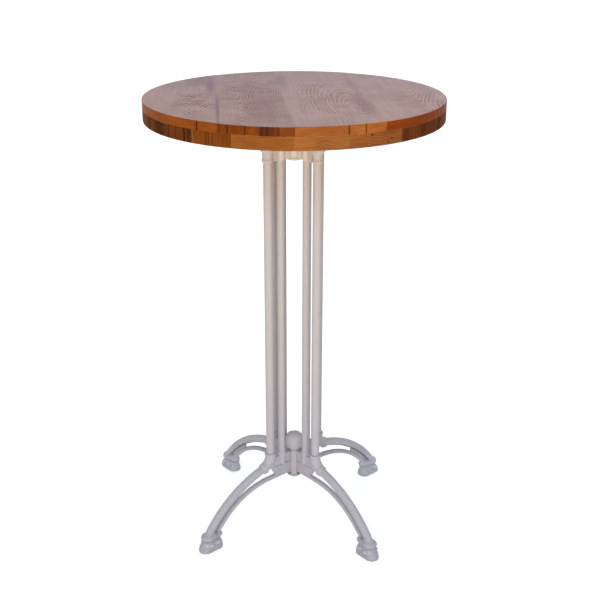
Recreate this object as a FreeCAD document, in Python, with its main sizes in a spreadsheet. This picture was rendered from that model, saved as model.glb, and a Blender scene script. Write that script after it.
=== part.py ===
import FreeCAD, Part
import math
import os
import re

import Sketcher

# Pub table: a round plank top on a cast base with four legs, eight columns and two hubs.
# Millimetres, +Z up, origin on the floor under the middle of the top.
# Leg and bracket pieces are drawn in one upright plane, radius along X, and turned into place.

SIZES = {
    # Plank top
    "table_height": 1120,
    "top_diameter": 700,
    "upper_thickness": 20,
    "lower_thickness": 30,
    "upper_edge_bevel": 2,
    "lower_edge_bevel": 1.5,
    "plank_angle": 8.7,
    # Columns
    "outer_column_offset": 82.2,
    "outer_column_diameter": 21.3,
    "outer_column_wall": 2,
    "inner_column_offset": 43.6,
    "inner_column_diameter": 18,
    "inner_column_wall": 1.5,
    "column_fit": 0.15,
    "spigot_length": 10,
    # Leg casting: socket, elbow, collar and curved leg
    "socket_top_height": 204,
    "socket_depth": 15,
    "socket_wall": 3.7,
    "lip_height": 5,
    "lip_step": 0.7,
    "elbow_drop": 6,
    "elbow_bend_radius": 36,
    "elbow_diameter": 26.5,
    "socket_taper_drop": 26,
    "leg_diameter": 21,
    "leg_arc_radius": 305,
    "leg_end_lead": 2.9,
    "leg_end_rise": 2.2,
    "collar_diameter": 29,
    "collar_width": 9,
    "collar_setback": 5,
    # Leg casting: web to the hub, rib under the leg, groove between them
    "web_top_drop": 17,
    "web_step_drop": 44,
    "web_bottom_drop": 81.4,
    "web_thickness": 15,
    "panel_thickness": 10,
    "rib_thickness": 13,
    "rib_height": 10.5,
    "rib_edge_round": 4,
    "rib_arc_radius": 205,
    "rib_end_lead": 5,
    "slot_inner_offset": 64,
    "slot_lean": 21,
    "slot_end_angle": 34.5,
    "groove_web_thickness": 4,
    "column_boss_wall": 2,
    "column_boss_rise": 10,
    # Leg casting: hoof foot with its cuff and the ledges on its sides
    "sole_gap": 0.8,
    "sole_heel_offset": 266.7,
    "sole_toe_offset": 297,
    "sole_radius": 18.2,
    "hoof_edge_height": 4,
    "neck_heel_offset": 263,
    "neck_toe_offset": 290,
    "neck_heel_radius": 11.5,
    "neck_toe_radius": 16.5,
    "neck_height": 25.2,
    "neck_length": 6.5,
    "cuff_heel_offset": 260,
    "cuff_toe_offset": 290,
    "cuff_heel_radius": 12.5,
    "cuff_toe_radius": 18.5,
    "cuff_height": 8,
    "cuff_round": 2,
    "ledge_heel_offset": 270,
    "ledge_toe_offset": 292.5,
    "ledge_length": 12.5,
    "ledge_rise": 16.2,
    "ledge_height": 7,
    "ledge_heel_width": 33.5,
    "ledge_toe_width": 36.6,
    "ledge_slope": 4,
    # Levelling glides
    "glide_diameter": 26,
    "glide_thickness": 3,
    "glide_edge_bevel": 1,
    "glide_floor": 1,
    "glide_fit": 0.5,
    "glide_stud_diameter": 8,
    "glide_stud_length": 20,
    "glide_hole_spare": 3,
    "thread_fit": 0.1,
    # Hubs and the tongues that slide into them
    "hub_side": 32,
    "hub_disc_diameter": 40,
    "hub_disc_thickness": 6,
    "hub_disc_round": 4,
    "base_hub_drop": 7.5,
    "tongue_width": 10,
    "tongue_head_width": 14,
    "tongue_head_inner": 9.5,
    "tongue_head_outer": 14,
    "tongue_fit": 0.2,
    "hub_joint_gap": 1,
    "hub_bolt_diameter": 10,
    "hub_bolt_head_across": 17,
    "hub_bolt_head_height": 6.4,
    "bolt_fit": 0.2,
    "spacer_diameter": 29,
    "spacer_height": 8,
    "dome_diameter": 48,
    "dome_wall_height": 15,
    "dome_thread_depth": 18,
    "dome_bolt_gap": 1,
    # Top brackets
    "bracket_height": 95,
    "bracket_web_thickness": 14,
    "capital_wall": 1.4,
    "bead_height": 8,
    "bead_radius": 5.2,
    "neck_top_rise": 17,
    "cove_radius": 14,
    "cove_angle": 65,
    "abacus_height": 4,
    "capital_boss_diameter": 26,
    "capital_slope_height": 8,
    "arm_setback": 8,
    "arm_arc_radius": 75,
    "flange_thickness": 6,
    "flange_width": 26,
    "flange_start": 30,
    "pad_offset": 150,
    "pad_radius": 12,
    "pad_hole_offset": 14,
    "top_hub_height": 66,
    "clamp_plate_thickness": 4,
    # Tie rods, nuts, washers and screws
    "tie_rod_diameter": 8,
    "tie_rod_grip": 20,
    "tie_rod_end_gap": 1.5,
    "tie_nut_across": 13,
    "tie_nut_height": 6.5,
    "tie_washer_diameter": 17,
    "tie_washer_thickness": 1.6,
    "nut_recess_diameter": 19,
    "nut_recess_depth": 10,
    "screw_diameter": 5,
    "screw_length": 28,
    "screw_head_diameter": 9.5,
    "screw_head_height": 3.2,
    "screw_fit": 0.15,
    "pilot_spare": 2,
    # Cuts run past the surface, and features of one casting run into each other, by this much
    "overrun": 1,
}

# Sizes and places worked out from the driving sizes
DERIVED = {
    "top_radius": "top_diameter / 2",
    "glue_line_height": "table_height - upper_thickness",
    "top_under_height": "glue_line_height - lower_thickness",
    "plank_reach": "top_radius + overrun",
    "bracket_bottom_height": "top_under_height - bracket_height",
    "outer_radius": "outer_column_diameter / 2",
    "inner_radius": "inner_column_diameter / 2",
    "inner_bore_radius": "inner_radius - inner_column_wall",
    "spigot_radius": "inner_bore_radius - column_fit",
    "column_boss_radius": "inner_radius + column_boss_wall",
    "socket_bore_radius": "outer_radius + column_fit",
    "socket_radius": "socket_bore_radius + socket_wall",
    "outer_column_bottom": "socket_top_height - socket_depth",
    "outer_column_top": "bracket_bottom_height + socket_depth",
    "web_top_height": "socket_top_height - web_top_drop",
    "web_step_height": "socket_top_height - web_step_drop",
    "web_bottom_height": "socket_top_height - web_bottom_drop",
    "neck_low_height": "sole_gap + neck_height",
    "cuff_bottom": "neck_low_height + neck_length",
    "elbow_height": "socket_top_height - elbow_drop",
    "elbow_radius": "elbow_diameter / 2",
    "leg_radius": "leg_diameter / 2",
    "leg_end_x": "cuff_toe_offset + leg_end_lead",
    "leg_end_z": "cuff_bottom + leg_end_rise",
    # The arc of the leg carries on from the arc of the elbow without a kink and ends in the cuff
    "leg_reach": "leg_end_x - outer_column_offset - elbow_bend_radius",
    "leg_fall": "elbow_height - leg_end_z",
    "leg_span": "sqrt(leg_reach ^ 2 + leg_fall ^ 2)",
    "centre_span": "elbow_bend_radius + leg_arc_radius",
    "leg_spread": "acos((centre_span ^ 2 + leg_span ^ 2 - leg_arc_radius ^ 2) / (2 * centre_span * leg_span))",
    "leg_start_angle": "(leg_spread - atan2(leg_reach; leg_fall)) / 1 deg",
    "elbow_end_x": "outer_column_offset + elbow_bend_radius * (1 - sin(leg_start_angle))",
    "elbow_end_z": "elbow_height - elbow_bend_radius * cos(leg_start_angle)",
    "leg_centre_x": "elbow_end_x - leg_arc_radius * sin(leg_start_angle)",
    "leg_centre_z": "elbow_end_z - leg_arc_radius * cos(leg_start_angle)",
    "rib_centre_z": "web_bottom_height - rib_arc_radius",
    "rib_middle_radius": "rib_arc_radius + rib_height / 2",
    "rib_middle_height": "web_bottom_height + rib_height / 2",
    "rib_side": "rib_thickness / 2",
    "rib_end_x": "cuff_heel_offset + rib_end_lead",
    "rib_end_z": "cuff_bottom",
    "rib_bend_offset": "rib_end_x - sqrt(rib_middle_radius ^ 2 - (rib_end_z - rib_centre_z) ^ 2)",
    "column_boss_top": "web_top_height + column_boss_rise",
    "hub_corner": "hub_side / sqrt(2)",
    "tongue_slot_half": "tongue_width / 2 + tongue_fit",
    "head_slot_half": "tongue_head_width / 2 + tongue_fit",
    "web_start": "hub_corner - tongue_slot_half + hub_joint_gap",
    "base_hub_floor": "web_bottom_height - base_hub_drop",
    "base_hub_bottom": "base_hub_floor - hub_disc_thickness",
    "bolt_hole_radius": "hub_bolt_diameter / 2 + bolt_fit",
    "dome_bottom": "web_top_height + spacer_height",
    "dome_radius": "dome_diameter / 2",
    "ledge_bottom": "sole_gap + ledge_rise",
    "glide_offset": "(sole_heel_offset + sole_toe_offset) / 2",
    "glide_stud_radius": "glide_stud_diameter / 2",
    "flange_bottom": "top_under_height - flange_thickness",
    "capital_neck_radius": "socket_bore_radius + capital_wall",
    "cove_start": "bracket_bottom_height + neck_top_rise",
    "cove_out": "capital_neck_radius + cove_radius * (1 - cos(cove_angle))",
    "cove_end": "cove_start + cove_radius * sin(cove_angle)",
    "abacus_top": "cove_end + abacus_height",
    "capital_boss_radius": "capital_boss_diameter / 2",
    "arm_reach": "pad_offset - arm_setback",
    "top_hub_bottom": "bracket_bottom_height - hub_disc_thickness",
    "top_hub_top": "bracket_bottom_height + top_hub_height",
    "clamp_plate_radius": "web_start - hub_joint_gap",
    "tie_rod_bottom": "outer_column_bottom - tie_rod_grip",
    "nut_seat": "top_under_height - nut_recess_depth",
    "tie_rod_top": "top_under_height - tie_rod_end_gap",
    "tie_rod_radius": "tie_rod_diameter / 2",
    "screw_radius": "screw_diameter / 2",
}

# Seams between planks, as shares of the radius of the top, from the left rim to the right
UPPER_SEAM_SHARES = (-0.514, -0.077, 0.471)
LOWER_SEAM_SHARES = (-0.666, -0.44, -0.083, 0.243, 0.574)

# Name of each corner of the base and the direction it points in, in degrees from +X
CORNERS = {"rear_right": 45, "rear_left": 135, "front_left": 225, "front_right": 315}
CORNER_COUNT = len(CORNERS)
FULL_TURN = 360
FIRST_CORNER_ANGLE = CORNERS["rear_right"]
SCREWS_PER_PAD = (-1, 1)

doc = FreeCAD.newDocument("PubTable")
Vector = FreeCAD.Vector
UPRIGHT = Vector(0, 0, 1)
SIDEWAYS = Vector(0, 1, 0)


def make_sheet():
    """Spreadsheet with one row per size: a name, the value and the alias that names the value."""
    sheet = doc.addObject("Spreadsheet::Sheet", "Size")
    rows = list(SIZES.items()) + [(name, "=" + formula) for name, formula in DERIVED.items()]
    for row, (name, value) in enumerate(rows, start=1):
        sheet.set(f"A{row}", name)
        sheet.set(f"B{row}", str(value))
        sheet.setAlias(f"B{row}", name)
    doc.recompute()
    return sheet


sheet = make_sheet()


def sized(text):
    """Expression text in which every size is looked up in the sheet."""
    def with_sheet(found):
        word = found.group(0)
        return "Size." + word if word in SIZES or word in DERIVED else word
    return re.sub(r"[a-z_]\w*", with_sheet, text)


def number(text):
    """Present value of an expression on the sizes."""
    value = sheet.evalExpression(sized(text))
    return float(getattr(value, "Value", value))


def bind(feature, **expressions):
    """Tie properties of a feature to sizes."""
    for name, text in expressions.items():
        feature.setExpression(name, sized(text))


def place(feature, x="0", y="0", z="0", axis=UPRIGHT, turn=None):
    """Tie the place of a feature, and its turn about an axis in degrees, to sizes."""
    if turn is not None:
        feature.Placement = FreeCAD.Placement(Vector(), FreeCAD.Rotation(axis, number(turn)))
        feature.setExpression("Placement.Rotation.Angle", sized(turn))
    for name, text in (("x", x), ("y", y), ("z", z)):
        feature.setExpression("Placement.Base." + name, sized(text))


def new_body(label, angle=0):
    """Empty body, turned about the table's axis."""
    body = doc.addObject("PartDesign::Body", label)
    body.Label = label
    body.Placement = FreeCAD.Placement(Vector(), FreeCAD.Rotation(UPRIGHT, angle))
    return body


def new_sketch(body, name, plane, **offsets):
    """Sketch on an origin plane of its body, shifted by sizes along its own axes."""
    sketch = body.newObject("Sketcher::SketchObject", name)
    origin_plane = next(item for item in body.Origin.OriginFeatures if item.Role == plane)
    sketch.AttachmentSupport = [(origin_plane, "")]
    sketch.MapMode = "FlatFace"
    for axis, text in offsets.items():
        sketch.setExpression("AttachmentOffset.Base." + axis, sized(text))
    return sketch


def pin(sketch, geometry, point, x, y):
    """Fix a point of a sketch at a place given by two expressions."""
    for kind, axis, text in (("DistanceX", -2, x), ("DistanceY", -1, y)):
        value = number(text)
        if value == 0:
            sketch.addConstraint(Sketcher.Constraint("PointOnObject", geometry, point, axis))
        else:
            index = sketch.addConstraint(Sketcher.Constraint(kind, -1, 1, geometry, point, value))
            sketch.setExpression(f"Constraints[{index}]", sized(text))


def set_radius(sketch, geometry, text):
    """Fix the radius of an arc or circle of a sketch."""
    index = sketch.addConstraint(Sketcher.Constraint("Radius", geometry, number(text)))
    sketch.setExpression(f"Constraints[{index}]", sized(text))


def arc_middle(start, end, radius, turn):
    """Middle of the arc from start to end that turns left (1) or right (-1)."""
    chord = end - start
    half = chord.Length / 2
    rise = radius - math.sqrt(radius * radius - half * half)
    side = Vector(chord.y, -chord.x, 0).normalize()
    return (start + end) / 2 + side * (rise * turn)


def draw(sketch, corners, closed=True):
    """Outline through corners (x, y) or (x, y, radius, turn), whose next edge is then an arc."""
    points = [Vector(number(corner[0]), number(corner[1]), 0) for corner in corners]
    edge_count = len(corners) if closed else len(corners) - 1
    ends = []
    for index in range(edge_count):
        start = points[index]
        end = points[(index + 1) % len(points)]
        corner = corners[index]
        if len(corner) == 2:
            edge = sketch.addGeometry(Part.LineSegment(start, end))
            ends.append((edge, 1, 2))
        else:
            middle = arc_middle(start, end, number(corner[2]), corner[3])
            first, last = (start, end) if corner[3] > 0 else (end, start)
            edge = sketch.addGeometry(Part.Arc(first, middle, last))
            ends.append((edge, 1, 2) if corner[3] > 0 else (edge, 2, 1))
            set_radius(sketch, edge, corner[2])
        pin(sketch, edge, ends[-1][1], corner[0], corner[1])
    for (edge, _, last), (follower, first, _) in zip(ends, ends[1:]):
        sketch.addConstraint(Sketcher.Constraint("Coincident", edge, last, follower, first))
    if closed:
        sketch.addConstraint(
            Sketcher.Constraint("Coincident", ends[-1][0], ends[-1][2], ends[0][0], ends[0][1]))
    else:
        pin(sketch, ends[-1][0], ends[-1][2], corners[-1][0], corners[-1][1])


def draw_circle(sketch, radius, x="0", y="0"):
    """Circle of a radius about a point."""
    centre = Vector(number(x), number(y), 0)
    circle = sketch.addGeometry(Part.Circle(centre, UPRIGHT, number(radius)))
    pin(sketch, circle, 3, x, y)
    set_radius(sketch, circle, radius)


def draw_egg(sketch, heel, heel_radius, toe, toe_radius):
    """Two arcs about points on the X axis, joined by the lines that touch both."""
    heel_x, toe_x = number(heel), number(toe)
    small, large = number(heel_radius), number(toe_radius)
    lean = math.asin((large - small) / (toe_x - heel_x))
    touch = math.pi / 2 + lean

    def on_arc(centre, radius, angle):
        return Vector(centre + radius * math.cos(angle), radius * math.sin(angle), 0)

    heel_arc = sketch.addGeometry(Part.Arc(
        on_arc(heel_x, small, touch), on_arc(heel_x, small, math.pi), on_arc(heel_x, small, -touch)))
    low_line = sketch.addGeometry(Part.LineSegment(
        on_arc(heel_x, small, -touch), on_arc(toe_x, large, -touch)))
    toe_arc = sketch.addGeometry(Part.Arc(
        on_arc(toe_x, large, -touch), on_arc(toe_x, large, 0), on_arc(toe_x, large, touch)))
    high_line = sketch.addGeometry(Part.LineSegment(
        on_arc(toe_x, large, touch), on_arc(heel_x, small, touch)))
    loop = (heel_arc, low_line, toe_arc, high_line)
    for edge, follower in zip(loop, loop[1:] + loop[:1]):
        sketch.addConstraint(Sketcher.Constraint("Tangent", edge, 2, follower, 1))
    for arc, centre, radius in ((heel_arc, heel, heel_radius), (toe_arc, toe, toe_radius)):
        pin(sketch, arc, 3, centre, "0")
        set_radius(sketch, arc, radius)


def pad(body, name, sketch, length, symmetric=False):
    """Solid pushed up from a sketch, or to both sides of it."""
    feature = body.newObject("PartDesign::Pad", name)
    feature.Profile = sketch
    feature.SideType = "Symmetric" if symmetric else "One side"
    bind(feature, Length=length)
    return feature


def pocket(body, name, sketch, length):
    """Cut pushed up from a sketch."""
    feature = body.newObject("PartDesign::Pocket", name)
    feature.Profile = sketch
    feature.Reversed = True
    bind(feature, Length=length)
    return feature


def revolve(body, name, sketch):
    """Solid turned about the sketch's own upright axis."""
    feature = body.newObject("PartDesign::Revolution", name)
    feature.Profile = sketch
    feature.ReferenceAxis = (sketch, ["V_Axis"])
    feature.Angle = FULL_TURN
    return feature


def loft(body, name, sections):
    """Solid through closed sections, from the lowest to the highest."""
    feature = body.newObject("PartDesign::AdditiveLoft", name)
    feature.Profile = sections[0]
    feature.Sections = sections[1:]
    return feature


def pipe(body, name, profile, path):
    """Solid swept by a profile along a path."""
    feature = body.newObject("PartDesign::AdditivePipe", name)
    feature.Profile = profile
    feature.Spine = path
    return feature


def round_bar(body, name, radius, low, high, x="0", y="0"):
    """Upright round boss between two heights."""
    feature = body.newObject("PartDesign::AdditiveCylinder", name)
    bind(feature, Radius=radius, Height=f"{high} - ({low})")
    place(feature, x=x, y=y, z=low)
    return feature


def bore(body, name, radius, low, high, x="0", y="0"):
    """Upright round hole between two heights."""
    feature = body.newObject("PartDesign::SubtractiveCylinder", name)
    bind(feature, Radius=radius, Height=f"{high} - ({low})")
    place(feature, x=x, y=y, z=low)
    return feature


def repeat_round(body, name, features):
    """Features repeated at every corner of the base."""
    axis = next(item for item in body.Origin.OriginFeatures if item.Role == "Z_Axis")
    pattern = body.newObject("PartDesign::PolarPattern", name)
    pattern.Originals = features
    pattern.Axis = (axis, [""])
    pattern.Angle = FULL_TURN
    pattern.Occurrences = CORNER_COUNT
    body.Tip = pattern
    return pattern


def make_discs():
    """The two glued layers before they are told apart into planks, with the screws' pilot holes."""
    upper = new_body("upper_disc")
    profile = new_sketch(upper, "upper_profile", "XZ_Plane")
    draw(profile, [
        ("0", "glue_line_height"),
        ("top_radius", "glue_line_height"),
        ("top_radius", "table_height - upper_edge_bevel"),
        ("top_radius - upper_edge_bevel", "table_height"),
        ("0", "table_height"),
    ])
    revolve(upper, "upper_turned", profile)

    lower = new_body("lower_disc", FIRST_CORNER_ANGLE)
    profile = new_sketch(lower, "lower_profile", "XZ_Plane")
    draw(profile, [
        ("0", "top_under_height"),
        ("top_radius - lower_edge_bevel", "top_under_height"),
        ("top_radius", "top_under_height + lower_edge_bevel"),
        ("top_radius", "glue_line_height"),
        ("0", "glue_line_height"),
    ])
    revolve(lower, "lower_turned", profile)
    holes = [
        bore(lower, f"pilot_{index}", "screw_radius + screw_fit", "top_under_height - overrun",
             "flange_bottom + screw_length + pilot_spare", x="pad_offset", y=f"{side} * pad_hole_offset")
        for index, side in enumerate(SCREWS_PER_PAD, start=1)
    ]
    repeat_round(lower, "pilots", holes)
    return upper, lower


def make_planks(disc, label, shares, low, thickness):
    """One layer cut along its seams, plank by plank."""
    seams = ["-plank_reach"]
    seams += [f"{share} * top_radius" for share in shares]
    seams += ["plank_reach"]
    planks = []
    for index, (left, right) in enumerate(zip(seams, seams[1:]), start=1):
        blank = doc.addObject("Part::Box", f"{label}_blank_{index}")
        bind(blank, Length=f"{right} - ({left})", Width="2 * plank_reach", Height=thickness)
        place(blank,
              x=f"({left}) * cos(plank_angle) + plank_reach * sin(plank_angle)",
              y=f"({left}) * sin(plank_angle) - plank_reach * cos(plank_angle)",
              z=low, turn="plank_angle")
        plank = doc.addObject("Part::Common", f"{label}_{index}")
        plank.Base = disc
        plank.Tool = blank
        planks.append(plank)
    return planks


def make_column(label, angle, radius, wall, offset, low, high):
    """Tube between a leg casting and the top bracket above it."""
    body = new_body(label, angle)
    section = new_sketch(body, label + "_section", "XY_Plane", z=low)
    draw_circle(section, radius, x=offset)
    draw_circle(section, f"{radius} - {wall}", x=offset)
    pad(body, label + "_tube", section, f"{high} - {low}")
    return body


def make_tongue(body, name, low, high, neck_low):
    """T-headed tongue at the hub end of a web: the head goes lower than the neck on a base leg."""
    head = new_sketch(body, name + "_head_plan", "XY_Plane", z=low)
    draw(head, [
        ("tongue_head_inner", "-tongue_head_width / 2"),
        ("tongue_head_outer", "-tongue_head_width / 2"),
        ("tongue_head_outer", "tongue_head_width / 2"),
        ("tongue_head_inner", "tongue_head_width / 2"),
    ])
    pad(body, name + "_head", head, f"{high} - {low}")
    neck = new_sketch(body, name + "_neck_side", "XZ_Plane")
    draw(neck, [
        ("tongue_head_inner", neck_low),
        ("web_start + overrun", neck_low),
        ("web_start + overrun", high),
        ("tongue_head_inner", high),
    ])
    pad(body, name + "_neck", neck, "tongue_width", symmetric=True)


def make_foot(body):
    """Hoof that flares to the sole, with ledges on its sides and a cuff where leg and rib run in."""
    levels = (
        ("sole", "sole_gap", "sole"),
        ("hoof_edge", "sole_gap + hoof_edge_height", "sole"),
        ("neck_low", "neck_low_height", "neck"),
        ("neck_high", "cuff_bottom", "neck"),
    )
    sections = []
    for name, height, kind in levels:
        section = new_sketch(body, name, "XY_Plane", z=height)
        heel_radius = "sole_radius" if kind == "sole" else "neck_heel_radius"
        toe_radius = "sole_radius" if kind == "sole" else "neck_toe_radius"
        draw_egg(section, f"{kind}_heel_offset", heel_radius, f"{kind}_toe_offset", toe_radius)
        sections.append(section)
    loft(body, "hoof", sections)
    levels = (
        ("cuff_low", "cuff_bottom", "cuff_round"),
        ("cuff_middle", "cuff_bottom + cuff_height / 2", "0"),
        ("cuff_high", "cuff_bottom + cuff_height", "cuff_round"),
    )
    sections = []
    for name, height, inset in levels:
        section = new_sketch(body, name, "XY_Plane", z=height)
        draw_egg(section, "cuff_heel_offset", f"cuff_heel_radius - {inset}",
                 "cuff_toe_offset", f"cuff_toe_radius - {inset}")
        sections.append(section)
    loft(body, "cuff", sections)
    for name in ("ledge_heel", "ledge_toe"):
        section = new_sketch(body, name + "_section", "YZ_Plane", z=f"{name}_offset - ledge_length / 2")
        draw(section, [
            (f"-{name}_width / 2", "ledge_bottom"),
            (f"{name}_width / 2", "ledge_bottom"),
            (f"{name}_width / 2 - ledge_slope", "ledge_bottom + ledge_height"),
            (f"ledge_slope - {name}_width / 2", "ledge_bottom + ledge_height"),
        ])
        pad(body, name, section, "ledge_length")


def draw_leg_path(sketch, whole):
    """Line of the leg in its own plane: down the socket, round the elbow and out to the foot."""
    points = [
        ("outer_column_offset", "socket_top_height"),
        ("outer_column_offset", "elbow_height", "elbow_bend_radius", 1),
        ("elbow_end_x", "elbow_end_z"),
    ]
    if whole:
        points[-1] += ("leg_arc_radius", -1)
        points.append(("leg_end_x", "leg_end_z"))
    draw(sketch, points, closed=False)


def make_leg(label, angle):
    """Leg casting: foot, curved leg, elbow, collar, web with its lower rib, tongue and sockets."""
    body = new_body(label, angle)
    make_foot(body)

    for name, radius, whole in (("curved_leg", "leg_radius", True), ("elbow", "elbow_radius", False)):
        path = new_sketch(body, name + "_path", "XZ_Plane")
        draw_leg_path(path, whole)
        section = new_sketch(body, name + "_section", "XY_Plane", z="socket_top_height")
        draw_circle(section, radius, x="outer_column_offset")
        pipe(body, name, section, path)

    collar = body.newObject("PartDesign::AdditiveCylinder", "collar")
    bind(collar, Radius="collar_diameter / 2", Height="collar_width")
    place(collar, axis=SIDEWAYS, turn="90 + leg_start_angle",
          x="elbow_end_x - (collar_setback + collar_width / 2) * cos(leg_start_angle)",
          z="elbow_end_z + (collar_setback + collar_width / 2) * sin(leg_start_angle)")

    round_bar(body, "socket", "socket_radius", "outer_column_bottom", "socket_top_height",
              x="outer_column_offset")
    round_bar(body, "socket_lip", "socket_radius + lip_step", "socket_top_height - lip_height",
              "socket_top_height", x="outer_column_offset")
    taper = body.newObject("PartDesign::AdditiveCone", "socket_taper")
    bind(taper, Radius1="leg_radius", Radius2="socket_radius", Height="socket_taper_drop")
    place(taper, x="outer_column_offset", z="outer_column_bottom - socket_taper_drop")

    path = new_sketch(body, "rib_path", "XZ_Plane")
    draw(path, [
        ("web_start", "rib_middle_height"),
        ("rib_bend_offset", "rib_middle_height", "rib_middle_radius", -1),
        ("rib_end_x", "rib_end_z"),
    ], closed=False)
    section = new_sketch(body, "rib_section", "YZ_Plane", z="web_start")
    draw(section, [
        ("rib_edge_round - rib_side", "web_bottom_height"),
        ("rib_side - rib_edge_round", "web_bottom_height", "rib_edge_round", 1),
        ("rib_side", "web_bottom_height + rib_edge_round"),
        ("rib_side", "web_bottom_height + rib_height - rib_edge_round", "rib_edge_round", 1),
        ("rib_side - rib_edge_round", "web_bottom_height + rib_height"),
        ("rib_edge_round - rib_side", "web_bottom_height + rib_height", "rib_edge_round", 1),
        ("-rib_side", "web_bottom_height + rib_height - rib_edge_round"),
        ("-rib_side", "web_bottom_height + rib_edge_round", "rib_edge_round", 1),
    ])
    pipe(body, "rib", section, path)

    panel = new_sketch(body, "panel_side", "XZ_Plane")
    draw(panel, [
        ("web_start", "rib_middle_height"),
        ("slot_inner_offset", "rib_middle_height"),
        ("slot_inner_offset + slot_lean", "web_step_height + overrun"),
        ("web_start", "web_step_height + overrun"),
    ])
    pad(body, "panel", panel, "panel_thickness", symmetric=True)

    web = new_sketch(body, "web_side", "XZ_Plane")
    draw(web, [
        ("web_start", "web_step_height"),
        ("outer_column_offset", "web_step_height"),
        ("outer_column_offset", "web_top_height"),
        ("web_start", "web_top_height"),
    ])
    pad(body, "web", web, "web_thickness", symmetric=True)

    groove = new_sketch(body, "groove_side", "XZ_Plane")
    draw(groove, [
        ("rib_bend_offset + rib_middle_radius * sin(slot_end_angle)",
         "rib_centre_z + rib_middle_radius * cos(slot_end_angle)", "rib_middle_radius", -1),
        ("rib_end_x", "rib_end_z"),
        ("leg_end_x", "leg_end_z", "leg_arc_radius", 1),
        ("leg_centre_x + leg_arc_radius * sin(slot_end_angle)",
         "leg_centre_z + leg_arc_radius * cos(slot_end_angle)"),
    ])
    pad(body, "groove_web", groove, "groove_web_thickness", symmetric=True)

    make_tongue(body, "tongue", "base_hub_floor", "web_top_height", "web_bottom_height")
    round_bar(body, "column_boss", "column_boss_radius", "web_step_height", "column_boss_top",
              x="inner_column_offset")
    round_bar(body, "spigot", "spigot_radius", "column_boss_top", "column_boss_top + spigot_length",
              x="inner_column_offset")
    bore(body, "socket_bore", "socket_bore_radius", "outer_column_bottom",
         "socket_top_height + overrun", x="outer_column_offset")
    bore(body, "rod_thread", "tie_rod_radius + thread_fit", "tie_rod_bottom",
         "outer_column_bottom + overrun", x="outer_column_offset")
    bore(body, "glide_recess", "glide_diameter / 2 + glide_fit", "0", "glide_thickness", x="glide_offset")
    bore(body, "glide_thread", "glide_stud_radius + thread_fit", "0",
         "glide_thickness + glide_stud_length + glide_hole_spare", x="glide_offset")
    return body


def make_bracket(label, angle):
    """Top bracket casting: capital round a column, web to the hub, arm and pad under the planks."""
    body = new_body(label, angle)
    capital = new_sketch(body, "capital_profile", "XZ_Plane", x="outer_column_offset")
    draw(capital, [
        ("0", "bracket_bottom_height"),
        ("capital_neck_radius", "bracket_bottom_height", "bead_radius", 1),
        ("capital_neck_radius", "bracket_bottom_height + bead_height"),
        ("capital_neck_radius", "cove_start", "cove_radius", -1),
        ("cove_out", "cove_end"),
        ("cove_out", "abacus_top"),
        ("capital_boss_radius", "abacus_top + capital_slope_height"),
        ("capital_boss_radius", "top_under_height"),
        ("0", "top_under_height"),
    ])
    revolve(body, "capital", capital)

    web = new_sketch(body, "web_side", "XZ_Plane")
    draw(web, [
        ("web_start", "bracket_bottom_height"),
        ("outer_column_offset", "bracket_bottom_height"),
        ("outer_column_offset + capital_boss_radius", "cove_end", "arm_arc_radius", -1),
        ("arm_reach", "flange_bottom"),
        ("arm_reach", "flange_bottom + overrun"),
        ("flange_start", "flange_bottom + overrun"),
        ("web_start", "top_hub_top"),
    ])
    pad(body, "web", web, "bracket_web_thickness", symmetric=True)

    flange = new_sketch(body, "flange_plan", "XY_Plane", z="flange_bottom")
    draw(flange, [
        ("flange_start", "-flange_width / 2"),
        ("pad_offset", "-flange_width / 2"),
        ("pad_offset", "flange_width / 2"),
        ("flange_start", "flange_width / 2"),
    ])
    pad(body, "flange", flange, "flange_thickness")
    screw_pad = new_sketch(body, "pad_plan", "XY_Plane", z="flange_bottom")
    draw(screw_pad, [
        ("pad_offset - pad_radius", "-pad_hole_offset"),
        ("pad_offset", "-pad_hole_offset - pad_radius", "pad_radius", 1),
        ("pad_offset + pad_radius", "-pad_hole_offset"),
        ("pad_offset + pad_radius", "pad_hole_offset", "pad_radius", 1),
        ("pad_offset", "pad_hole_offset + pad_radius"),
        ("pad_offset - pad_radius", "pad_hole_offset"),
    ])
    pad(body, "screw_pad", screw_pad, "flange_thickness")

    make_tongue(body, "tongue", "bracket_bottom_height", "top_hub_top", "bracket_bottom_height")
    round_bar(body, "column_boss", "column_boss_radius", "bracket_bottom_height", "cove_end",
              x="inner_column_offset")
    round_bar(body, "spigot", "spigot_radius", "bracket_bottom_height - spigot_length",
              "bracket_bottom_height", x="inner_column_offset")
    bore(body, "socket_bore", "socket_bore_radius", "bracket_bottom_height - overrun",
         "outer_column_top", x="outer_column_offset")
    bore(body, "rod_hole", "tie_rod_radius + bolt_fit", "outer_column_top - overrun",
         "nut_seat + overrun", x="outer_column_offset")
    bore(body, "nut_recess", "nut_recess_diameter / 2", "nut_seat", "top_under_height + overrun",
         x="outer_column_offset")
    for index, side in enumerate(SCREWS_PER_PAD, start=1):
        bore(body, f"screw_hole_{index}", "screw_radius + screw_fit", "flange_bottom - overrun",
             "top_under_height + overrun", x="pad_offset", y=f"{side} * pad_hole_offset")
    return body


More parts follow.
